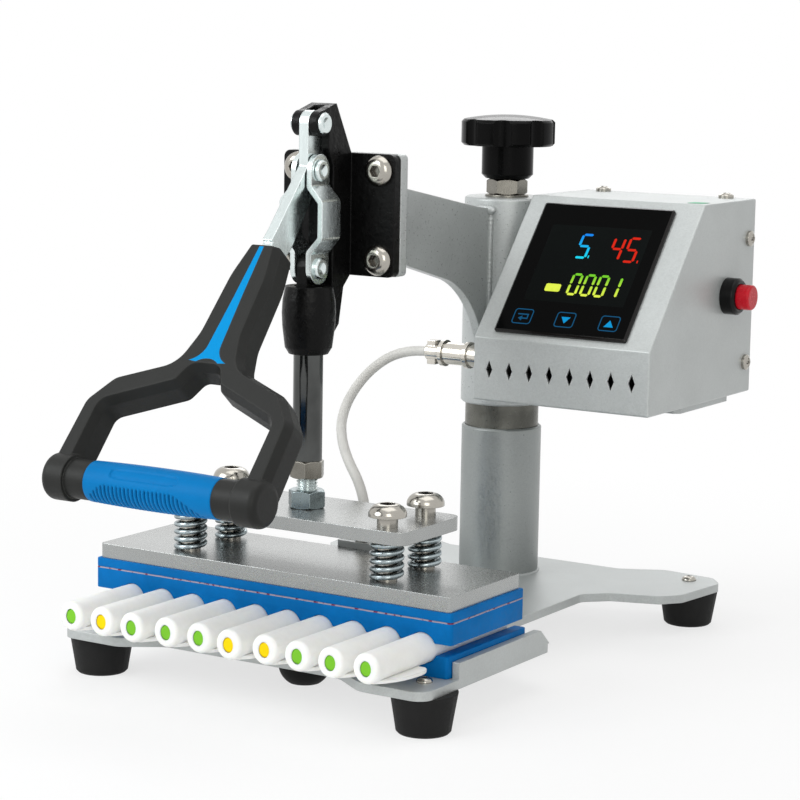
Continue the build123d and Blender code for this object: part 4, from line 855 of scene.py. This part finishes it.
class PRESS_OT_grip(bpy.types.Operator):
    """Mould the ribbed grip with its blank panel"""

    bl_idname = "press.grip"
    bl_label = "Hand grip"

    def execute(self, context):
        plan = context.scene.press_grip
        low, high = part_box("hand_grip")
        middle = (low + high) / 2
        half = (high.x - low.x) / 2
        bm = bmesh.new()
        ends = [bm.verts.new((x, middle.y, middle.z + plan.radius)) for x in (low.x, high.x)]
        bmesh.ops.subdivide_edges(bm, edges=[bm.edges.new(ends)], cuts=263)
        turned(bm, middle, (1, 0, 0), 132)
        for vert in bm.verts:
            out = Vector((0, vert.co.y - middle.y, vert.co.z - middle.z)).normalized()
            angle = math.degrees(math.atan2(out.z, -out.y))
            vert.co += out * self.relief(plan, vert.co.x - middle.x, half, angle)
        cap_ends(bm)
        settle("ribbed_grip", bm, "lever", finishes(context)["Grip rubber"], ("hand_grip",),
               crease=80.0)
        return {"FINISHED"}

    def relief(self, plan, place, half, angle):
        """Height of the skin: a low crown, ribs below a line with dipping ends, and a sunk panel above."""
        along = place / half
        edge = min(1.0, (1 - abs(along)) * half / 0.0006)
        height = plan.crown * (1 - along ** 2) - 0.0004 * (1 - edge) ** 2
        right_dip = 53 * max(0.0, (along - 0.38) / 0.42) ** 1.5
        left_dip = 35 * max(0.0, (-0.66 - along) / 0.24) ** 1.5
        line = plan.line - right_dip - left_dip
        inside = max(0.0, min(1.0, (line - angle) / 5)) if abs(along) < 0.93 else 0.0
        wave = (0.5 + 0.5 * math.cos(2 * math.pi * place / plan.pitch)) ** 2.5
        height -= plan.rib * inside * wave
        around = (2 * angle - plan.panel_low - plan.panel_high) / (plan.panel_high - plan.panel_low)
        across = (along + 0.07) / 0.53
        border = max(0.0, min(1.0, (1 - (abs(across) ** 8 + abs(around) ** 4) ** 0.25) / 0.06))
        return height - plan.panel * border


class PRESS_OT_threads(bpy.types.Operator):
    """Cut the threads of the plunger's stud and of the height screw"""

    bl_idname = "press.threads"
    bl_label = "Threads"

    def execute(self, context):
        plan = context.scene.press_threads
        for name, node, body in (("threaded_stud", "plunger_stud", "plunger"),
                                 ("threaded_screw", "height_screw", "knob_screw")):
            low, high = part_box(node)
            bm = bmesh.new()
            self.cut(bm, plan, (low + high) / 2, (high.x - low.x) / 2, low.z, high.z)
            settle(name, bm, body, finishes(context)["Zinc plate"], (node,), crease=30.0)
        return {"FINISHED"}

    def cut(self, bm, plan, axis, radius, low, high):
        """Thread between two heights: one turn of the zigzag side, screwed up by one pitch and closed."""
        count = math.ceil((high - low) / plan.pitch) + 2
        start = low - 1.5 * plan.pitch
        line = []
        for i in range(count):
            for share, sunk in ((0.0, plan.depth), (0.12, plan.depth), (0.5, 0.0), (0.62, 0.0)):
                line.append(bm.verts.new((axis.x + radius - sunk, axis.y, start + (i + share) * plan.pitch)))
        edges = [bm.edges.new(pair) for pair in zip(line, line[1:])]
        bmesh.ops.spin(bm, geom=line + edges, cent=axis, axis=(0, 0, 1), dvec=(0, 0, plan.pitch / plan.steps),
                       angle=2 * math.pi, steps=plan.steps, use_merge=False, use_duplicate=False)
        bmesh.ops.remove_doubles(bm, verts=bm.verts, dist=1e-6)
        for height, way in ((low, (0, 0, -1)), (high, (0, 0, 1))):
            cut_off(bm, (axis.x, axis.y, height), way)
        cap_ends(bm)


class PRESS_OT_welds(bpy.types.Operator):
    """Lay the rippled weld beads at the arm and the post"""

    bl_idname = "press.welds"
    bl_label = "Welds"

    def execute(self, context):
        plan = context.scene.press_welds
        arm_low, arm_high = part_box("arm_plate")
        end_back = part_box("end_plate")[1].y
        sleeve_low, sleeve_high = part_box("head_sleeve")
        post_low, post_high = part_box("post_tube")
        sleeve = (sleeve_low + sleeve_high) / 2
        weld_y = sleeve.y - (sleeve_high.x - sleeve_low.x) / 2
        front_low = arm_low.z + 69.0 * mm
        inset = 1.5 * mm
        blob = Matrix.Diagonal((6.0 * mm, 2.6 * mm, 3.4 * mm, 1.0))
        bm = bmesh.new()
        for side in (-1, 1):
            start, end = (Vector((side * arm_high.x, end_back, z))
                          for z in (front_low + inset, arm_high.z - inset))
            self.bead(bm, plan, plan.radius, 0.13, start, end)
            seam = Vector((side * (arm_high.x + 0.6 * mm), weld_y + 0.4 * mm, arm_low.z + 2 * mm))
            top = Vector((seam.x, seam.y, sleeve_high.z - 10 * mm))
            self.bead(bm, plan, plan.seam, 0.05, seam, top)
            place = Matrix.Translation(top + Vector((-side * 2.2 * mm, -0.6 * mm, 3.0 * mm)))
            bmesh.ops.create_icosphere(bm, subdivisions=3, radius=1.0, matrix=place @ blob)
        self.ring(bm, plan.foot, Vector((sleeve.x, sleeve.y, post_low.z)), (post_high.x - post_low.x) / 2)
        settle("weld_ripples", bm, "frame", finishes(context)["Silver casting paint"],
               ("weld_beads",), crease=70.0)
        return {"FINISHED"}

    def bead(self, bm, plan, thick, swell, start, end):
        """Straight bead, a round bar with narrow ends that swells at each ripple."""
        narrow = 0.55
        ring = bmesh.ops.create_circle(bm, cap_ends=False, segments=12, radius=thick * narrow,
                                       matrix=Matrix.Translation(start))["verts"]
        way = end - start
        count = max(8, round(way.length / plan.ripple) * 4)
        loop = list({edge for vert in ring for edge in vert.link_edges})
        size_now = narrow
        for i in range(1, count + 1):
            grown = bmesh.ops.extrude_edge_only(bm, edges=loop)["geom"]
            verts = points_of(grown)
            loop = [part for part in grown if isinstance(part, bmesh.types.BMEdge)
                    and all(vert in verts for vert in part.verts)]
            bmesh.ops.translate(bm, verts=verts, vec=way / count)
            taper = min(1.0, narrow + (1 - narrow) * min(i, count - i) / 3)
            wanted = taper * (1 + swell * math.sin(2 * math.pi * i / 4 + 0.7) + 0.05 * math.sin(1.7 * i))
            centre = start + way * i / count
            bmesh.ops.scale(bm, verts=verts, vec=Vector((1, 1, 1)) * (wanted / size_now),
                            space=Matrix.Translation(-centre))
            size_now = wanted
        cap_ends(bm)

    def ring(self, bm, thick, centre, radius):
        """Uneven bead round the foot of the post."""
        bead = bmesh.new()
        upright = Matrix.Rotation(math.radians(90), 4, "X")
        place = Matrix.Translation(centre + Vector((radius, 0, 0))) @ upright
        bmesh.ops.create_circle(bead, cap_ends=False, segments=10, radius=thick, matrix=place)
        turned(bead, centre, (0, 0, 1), 192)
        for vert in bead.verts:
            flat = Vector((vert.co.x - centre.x, vert.co.y - centre.y, 0))
            angle = math.atan2(flat.y, flat.x)
            core = centre + flat.normalized() * radius
            swell = 1 + 0.10 * math.sin(angle * 52) + 0.05 * math.sin(angle * 23)
            vert.co = core + (vert.co - core) * swell
        merge_in(bm, bead)


class PRESS_OT_fasteners(bpy.types.Operator):
    """Cut the three nuts, and set the round cross-head screws in the box"""

    bl_idname = "press.fasteners"
    bl_label = "Nuts and screws"

    def execute(self, context):
        plan = context.scene.press_fasteners
        ready = finishes(context)
        low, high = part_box("lock_nut")
        bm = bmesh.new()
        self.nut(bm, (low + high) / 2, high.x - low.x, low.z, high.z, plan.lock_turn, by_corners=True)
        settle("post_hex_nut", bm, "frame", ready["Nut steel"], ("lock_nut",), crease=25.0)
        for name, node, flats, turn, finish in (
                ("upper_hex_nut", "jam_nut", plan.jam, plan.jam_turn, "Nut steel"),
                ("lower_hex_nut", "lower_nut", plan.lower, plan.lower_turn, "Zinc nut")):
            low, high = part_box(node)
            bm = bmesh.new()
            self.nut(bm, (low + high) / 2, flats, low.z, high.z, turn)
            settle(name, bm, "plunger", ready[finish], (node,), crease=25.0)
        self.screws(plan, ready["Bright steel"])
        return {"FINISHED"}

    def nut(self, bm, axis, wide, low, high, turn, by_corners=False):
        """Nut turned from a round blank with chamfered ends, then cut with six flats."""
        corner = wide / 2 if by_corners else wide / math.sqrt(3)
        flat = corner * math.cos(math.radians(30))
        ease = (corner - flat * 0.96) * math.tan(math.radians(30))
        blank = bmesh.new()
        line = [blank.verts.new((axis.x + x, axis.y, z)) for x, z in (
            (0, low), (flat * 0.96, low), (corner, low + ease), (corner, high - ease), (flat * 0.96, high),
            (0, high))]
        for pair in zip(line, line[1:]):
            blank.edges.new(pair)
        turned(blank, axis, (0, 0, 1), 72)
        bmesh.ops.remove_doubles(blank, verts=blank.verts, dist=1e-6)
        for side in range(6):
            angle = math.radians(turn + 60 * side)
            way = Vector((math.cos(angle), math.sin(angle), 0))
            cut_off(blank, axis + way * flat, way)
            cap_ends(blank)
        merge_in(bm, blank)

    def screws(self, plan, finish):
        """Round head, rounded over its rim, with a sunk cross, on the top and on both sides of the box."""
        low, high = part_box("box_shell")
        back, sunk, recess = 256.8 * mm, 0.2 * mm, 1.2 * mm
        places = [(Vector((x * mm, back, high.z)), Matrix.Identity(4)) for x in (46.7, 130.5)]
        for z in (167.6, 243.0):
            places.append((Vector((high.x, back, z * mm)), Matrix.Rotation(math.radians(90), 4, "Y")))
            places.append((Vector((low.x, back, z * mm)), Matrix.Rotation(math.radians(-90), 4, "Y")))
        bm = bmesh.new()
        for place, turn in places:
            head = bmesh.new()
            last = arc_from(head, head.verts.new((0, 0, plan.rise)), (0, 0, plan.rise - plan.head * 1.6),
                            (0, 1, 0), math.radians(32), 6)
            line = [last] + [head.verts.new((x, 0, z)) for x, z in (
                (plan.head, last.co.z - 0.5 * mm), (plan.head, -sunk), (0, -sunk))]
            for pair in zip(line, line[1:]):
                head.edges.new(pair)
            turned(head, (0, 0, 0), (0, 0, 1), 48)
            bmesh.ops.remove_doubles(head, verts=head.verts, dist=1e-6)
            for vert in head.verts:
                x, y = abs(vert.co.x), abs(vert.co.y)
                if vert.co.z > 0 and max(x, y) < plan.cross and min(x, y) < plan.cross * 0.3:
                    vert.co.z -= recess
            bmesh.ops.transform(head, matrix=Matrix.Translation(place) @ turn, verts=head.verts)
            merge_in(bm, head)
        settle("box_screw_heads", bm, "frame", finish, ("box_screws",), crease=35.0)


class PRESS_OT_display(bpy.types.Operator):
    """Light the digits, the badge and the touch keys on the sloping display"""

    bl_idname = "press.display"
    bl_label = "Display"

    bars = {"0": "abcdef", "1": "bc", "4": "fgbc", "5": "afgcd"}
    front = (12.4, 4.5, 86.6, 93.5)  # left, bottom, width and height on the slope, in millimetres

    def execute(self, context):
        plan = context.scene.press_display
        ready = finishes(context)
        self.slope(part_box("box_shell")[0])
        deep, sunk = 2.4, 0.9
        rim = plan.rim / mm
        left, low, width, height = self.front
        bm = bmesh.new()
        self.plate(bm, left, low, width, height, 1.4, (deep - sunk) * mm, -deep * mm)
        top = max(bm.faces, key=lambda face: (round(face.calc_center_median().z, 6), face.calc_area()))
        bmesh.ops.inset_region(bm, faces=[top], thickness=plan.rim, use_even_offset=True)
        bmesh.ops.translate(bm, verts=top.verts, vec=(0, 0, 0.87 * mm))
        self.done("display_rim", bm, ready["Display rim"], ("display_panel",))
        bm = bmesh.new()
        self.plate(bm, left + rim, low + rim, width - 2 * rim, height - 2 * rim, 0.25, 0.03 * mm, -0.03 * mm)
        self.done("display_glass", bm, ready["Display glass"])
        bm = bmesh.new()
        self.plate(bm, 24.0, 27.0, 66.0, 55.0, 1.0, 0.02 * mm)
        self.done("display_film", bm, ready["Display film"])
        digits_low, digits_high = 59.1, 76.3
        counter = [(value, left, 33.4, 5.5, 14.1) for value, left in zip("0001", (50.5, 59.3, 68.1, 76.6))]
        for name, figures, foot, top, low, high in (
                ("left_digit", [("5", 46.4, 59.5, 6.7, 16.4), (".", 54.8, 59.4, 0.8, 1.9)],
                 plan.cyan_foot, plan.cyan_top, digits_low, digits_high),
                ("right_digits", [("4", 68.2, 59.6, 6.3, 15.4), ("5", 78.0, 58.9, 6.5, 16.6),
                                  (".", 87.3, 58.3, 0.8, 1.9)],
                 plan.scarlet, plan.scarlet, digits_low, digits_high),
                ("counter_digits", counter, plan.lime_foot, plan.lime_top, 33.3, 47.3)):
            bm = bmesh.new()
            for figure in figures:
                self.digit(bm, plan, *figure)
            self.lit(name, bm, plan, foot, top, low, high)
        bm = bmesh.new()
        self.plate(bm, 35.2, 34.3, 10.0, 5.4, 1.2, plan.raise_by)
        self.lit("badge", bm, plan, plan.lime_foot, plan.lime_foot, 34.3, 39.7)
        keys, signs = bmesh.new(), bmesh.new()
        key_low, key_middle, key_top, key_wide = 10.1, 15.4, 20.7, 12.5
        for left, sign in ((22.0, "return"), (50.1, "down"), (78.9, "up")):
            self.key(keys, plan, left, key_low, key_wide, key_top - key_low)
            self.sign(keys if sign == "return" else signs, plan, left + key_wide / 2, key_middle, sign)
        self.lit("touch_keys", keys, plan, plan.key, plan.key, key_low, key_top)
        self.lit("key_signs", signs, plan, plan.sign, plan.sign, key_low, key_top)
        return {"FINISHED"}

    def lit(self, name, bm, plan, foot, top, low, high):
        """Finishes a lit shape, coloured between two heights on the slope in millimetres."""
        levels = [(self.corner + self.up * value * mm).z for value in (low, high)]
        self.done(name, bm, glow_surface(name.replace("_", " "), foot, top, *levels, plan.glow))

    def slope(self, box_low):
        """Finds the plane of the display's front from the CAD display."""
        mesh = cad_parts["display_panel"].data
        faces = sorted(mesh.polygons, key=lambda face: -face.area)
        out = Vector(faces[0].normal)
        out = self.out = -out if out.y > 0 else out
        self.right = Vector((1, 0, 0))
        self.up = self.out.cross(self.right)
        if self.up.z < 0:
            self.up = -self.up
        level = max(Vector(vert.co).dot(out) for vert in mesh.vertices) + 0.03 * mm
        bottom = min(Vector(vert.co).dot(self.up) for vert in mesh.vertices) - self.front[1] * mm
        self.corner = out * level + self.up * bottom + Vector((box_low.x, 0, 0))

    def done(self, name, bm, finish, stands_for=()):
        """Lifts the flat drawing on to the display."""
        place = Matrix((self.right, self.up, self.out)).transposed().to_4x4()
        place.translation = self.corner
        bmesh.ops.transform(bm, matrix=place, verts=bm.verts)
        settle(name, bm, "frame", finish, stands_for, crease=30.0)

    def plate(self, bm, left, low, width, height, corner, thick, base=0.0):
        """Rounded plate drawn in millimetres from the slope's lower left corner."""
        verts = [bm.verts.new((x * mm, y * mm, base)) for x, y in (
            (left, low), (left + width, low), (left + width, low + height), (left, low + height))]
        bm.faces.new(verts)
        soften(bm, verts, corner * mm, 5, "VERTICES")
        face = max((f for f in bm.faces if all(abs(v.co.z - base) < 1e-9 for v in f.verts)
                    and left * mm - 1e-6 <= f.calc_center_median().x <= (left + width) * mm + 1e-6
                    and low * mm - 1e-6 <= f.calc_center_median().y <= (low + height) * mm + 1e-6),
                   key=lambda f: f.calc_area())
        pushed(bm, face, Vector((0, 0, thick)))

    def digit(self, bm, plan, value, left, low, width, height):
        """One leaning digit of seven bars, or a dot."""
        if value == ".":
            self.plate(bm, left, low, width, height, 0.2, plan.raise_by)
            return
        half = plan.bar / 2
        gap = 0.00022
        mid = low + height / 2
        ends = {
            "a": ((left, low + height), (left + width, low + height)),
            "g": ((left, mid), (left + width, mid)),
            "d": ((left, low), (left + width, low)),
            "f": ((left, mid), (left, low + height)),
            "b": ((left + width, mid), (left + width, low + height)),
            "e": ((left, low), (left, mid)),
            "c": ((left + width, low), (left + width, mid)),
        }
        for name in self.bars[value]:
            start, end = (Vector((x * mm, y * mm, 0)) for x, y in ends[name])
            way = (end - start).normalized()
            start, end = start + way * (half + gap), end - way * (half + gap)
            side = Vector((-way.y, way.x, 0)) * half
            tips = [start - way * half * 0.85, start + side, end + side, end + way * half * 0.85, end - side,
                    start - side]
            for tip in tips:
                tip.x += (tip.y - low * mm) * plan.lean
            slab(bm, tips, Vector((0, 0, plan.raise_by)))

    def key(self, bm, plan, left, low, width, height):
        """Outline of a key."""
        ring = bmesh.new()
        self.plate(ring, left, low, width, height, 2.0, plan.raise_by)
        large = 0.5 * width * height * mm * mm
        flats = [f for f in ring.faces if abs(f.normal.z) > 0.5 or f.calc_area() > large]
        bmesh.ops.inset_region(ring, faces=flats, thickness=0.0006, use_even_offset=True)
        rims = {edge for face in flats for edge in face.edges}
        bmesh.ops.delete(ring, geom=flats, context="FACES_ONLY")
        bmesh.ops.bridge_loops(ring, edges=[edge for edge in rims if edge.is_valid])
        merge_in(bm, ring)

    def sign(self, bm, plan, x, y, kind):
        """Arrow in a key."""
        if kind == "return":
            self.stroke(bm, plan, [(x - 3.2, y + 1.5), (x + 3.2, y + 1.5), (x + 3.2, y - 1.3),
                                   (x - 0.4, y - 1.3)])
            self.shape(bm, plan, [(x - 2.8, y - 1.3), (x - 0.2, y - 3.0), (x - 0.2, y + 0.4)])
        elif kind == "down":
            self.shape(bm, plan, [(x - 2.9, y + 1.9), (x, y - 2.5), (x + 3.0, y + 1.9)])
        else:
            self.shape(bm, plan, [(x - 2.9, y - 2.5), (x + 3.2, y - 2.5), (x, y + 2.2)])

    def shape(self, bm, plan, corners):
        """Filled shape, from its corners in millimetres."""
        slab(bm, [(x * mm, y * mm, 0) for x, y in corners], Vector((0, 0, plan.raise_by)))

    def stroke(self, bm, plan, points):
        """Line of short bars, 0.8 mm wide."""
        half = 0.4
        for (x0, y0), (x1, y1) in zip(points, points[1:]):
            left, right = min(x0, x1) - half, max(x0, x1) + half
            low, high = min(y0, y1) - half, max(y0, y1) + half
            self.shape(bm, plan, [(left, low), (right, low), (right, high), (left, high)])


class PRESS_OT_sticker(bpy.types.Operator):
    """Stick the bare green label on top of the box"""

    bl_idname = "press.sticker"
    bl_label = "Sticker"

    def execute(self, context):
        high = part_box("box_shell")[1]
        from_side, from_back, gap, half, thick = 9.5 * mm, 60.0 * mm, 0.08 * mm, 5.2 * mm, 0.12 * mm
        bm = bmesh.new()
        place = Matrix.Translation((high.x - from_side, high.y - from_back, high.z + gap))
        bmesh.ops.create_grid(bm, x_segments=1, y_segments=1, size=half, matrix=place)
        soften(bm, bm.verts, 1.2 * mm, 4, "VERTICES")
        pushed(bm, bm.faces[:][0], Vector((0, 0, thick)))
        settle("label", bm, "frame", finishes(context)["Green sticker"])
        return {"FINISHED"}


class PRESS_OT_stage(bpy.types.Operator):
    """Build the pale floor, the world and the soft lamps"""

    bl_idname = "press.stage"
    bl_label = "Stage"

    def execute(self, context):
        plan = context.scene.press_stage
        self.floor(plan)
        self.world(context, plan)
        aim = Vector((0.02, 0.10, 0.14))
        cool, plain, warm = (0.96, 0.99, 1.0), (1.0, 1.0, 1.0), (1.0, 0.985, 0.93)
        for name, place, wide, tall, power, tint in (
                ("key_lamp", (-1.15, -1.75, 1.35), 1.5, 1.3, plan.key, cool),
                ("top_lamp", (0.20, 0.05, 2.0), 1.6, 1.6, plan.top, plain),
                ("side_lamp", (1.5, -1.7, 0.95), 1.0, 1.3, plan.side, warm),
                ("back_lamp", (-0.8, 1.9, 1.3), 1.4, 0.9, plan.back, plain)):
            light = bpy.data.lights.new(name, "AREA")
            light.shape = "RECTANGLE"
            light.size, light.size_y = wide, tall
            light.energy, light.color = power, tint
            lamp = add_object(name, light)
            lamp.location = place
            lamp.rotation_euler = (aim - Vector(place)).to_track_quat("-Z", "Y").to_euler()
        context.scene.view_settings.view_transform = "Standard"
        return {"FINISHED"}

    def seen_share(self, tree):
        """1 for camera, mirror and glass rays, so that they all meet the same background."""
        path = put(tree, "ShaderNodeLightPath").outputs
        seen = worked(tree, "MAXIMUM", path["Is Camera Ray"], path["Is Glossy Ray"])
        return worked(tree, "MAXIMUM", seen, path["Is Transmission Ray"])

    def floor(self, plan):
        """Large pale floor that keeps the shadow."""
        bm = bmesh.new()
        bmesh.ops.create_grid(bm, x_segments=1, y_segments=1, size=30.0)
        mesh = bpy.data.meshes.new("floor")
        bm.to_mesh(mesh)
        bm.free()
        made, tree, shader = new_material("Pale floor")
        fill(tree, shader, {"Base Color": grey(0.97), "Roughness": 0.8, "Specular IOR Level": 0.1})
        white = put(tree, "ShaderNodeEmission", {"Color": grey(1.0), "Strength": 1.0})
        where = put(tree, "ShaderNodeTexCoord").outputs["Object"]
        away = put(tree, "ShaderNodeVectorMath", {0: where}, operation="LENGTH").outputs["Value"]
        clear = ranged(tree, away, 0.25, 0.75, 1 - plan.floor, 1.0, interpolation_type="SMOOTHSTEP")
        share = worked(tree, "MULTIPLY", self.seen_share(tree), clear)
        mix = put(tree, "ShaderNodeMixShader", {0: share, 1: shader.outputs[0], 2: white.outputs[0]})
        tree.links.new(mix.outputs[0], tree.nodes["Material Output"].inputs["Surface"])
        mesh.materials.append(made)
        floor = add_object("floor", mesh)

    def world(self, context, plan):
        """White backdrop for what looks at it, and even light for the rest."""
        world = bpy.data.worlds.new("studio")
        world.use_nodes = True
        tree = world.node_tree
        strength = ranged(tree, self.seen_share(tree), 0.0, 1.0, plan.ambient, 1.0)
        fill(tree, tree.nodes["Background"], {"Color": grey(1.0), "Strength": strength})
        context.scene.world = world


operators = (
    PRESS_OT_camera,
    PRESS_OT_lead,
    PRESS_OT_cad_finishes,
    PRESS_OT_springs,
    PRESS_OT_pads,
    PRESS_OT_wraps,
    PRESS_OT_grip,
    PRESS_OT_threads,
    PRESS_OT_fasteners,
    PRESS_OT_welds,
    PRESS_OT_display,
    PRESS_OT_sticker,
    PRESS_OT_stage,
)


class PRESS_PT_panel(bpy.types.Panel):
    """Lists the pieces of the press"""

    bl_idname = "PRESS_PT_panel"
    bl_label = "Pen Heat Press"
    bl_space_type = "VIEW_3D"
    bl_region_type = "UI"
    bl_category = "Pen Press"

    def draw(self, context):
        for operator in operators:
            self.layout.operator(operator.bl_idname)


def register():
    for name, group in groups.items():
        bpy.utils.register_class(group)
        setattr(bpy.types.Scene, name, bpy.props.PointerProperty(type=group))
    for operator in operators:
        bpy.utils.register_class(operator)
    bpy.utils.register_class(PRESS_PT_panel)


def unregister():
    bpy.utils.unregister_class(PRESS_PT_panel)
    for operator in reversed(operators):
        bpy.utils.unregister_class(operator)
    for name, group in reversed(groups.items()):
        delattr(bpy.types.Scene, name)
        bpy.utils.unregister_class(group)


def main():
    register()
    bpy.ops.press.camera()
    bpy.ops.press.lead()
    bpy.ops.press.cad_finishes()
    bpy.ops.press.springs()
    bpy.ops.press.pads()
    bpy.ops.press.wraps()
    bpy.ops.press.grip()
    bpy.ops.press.threads()
    bpy.ops.press.fasteners()
    bpy.ops.press.welds()
    bpy.ops.press.display()
    bpy.ops.press.sticker()
    bpy.ops.press.stage()


if __name__ == "__main__":
    main()
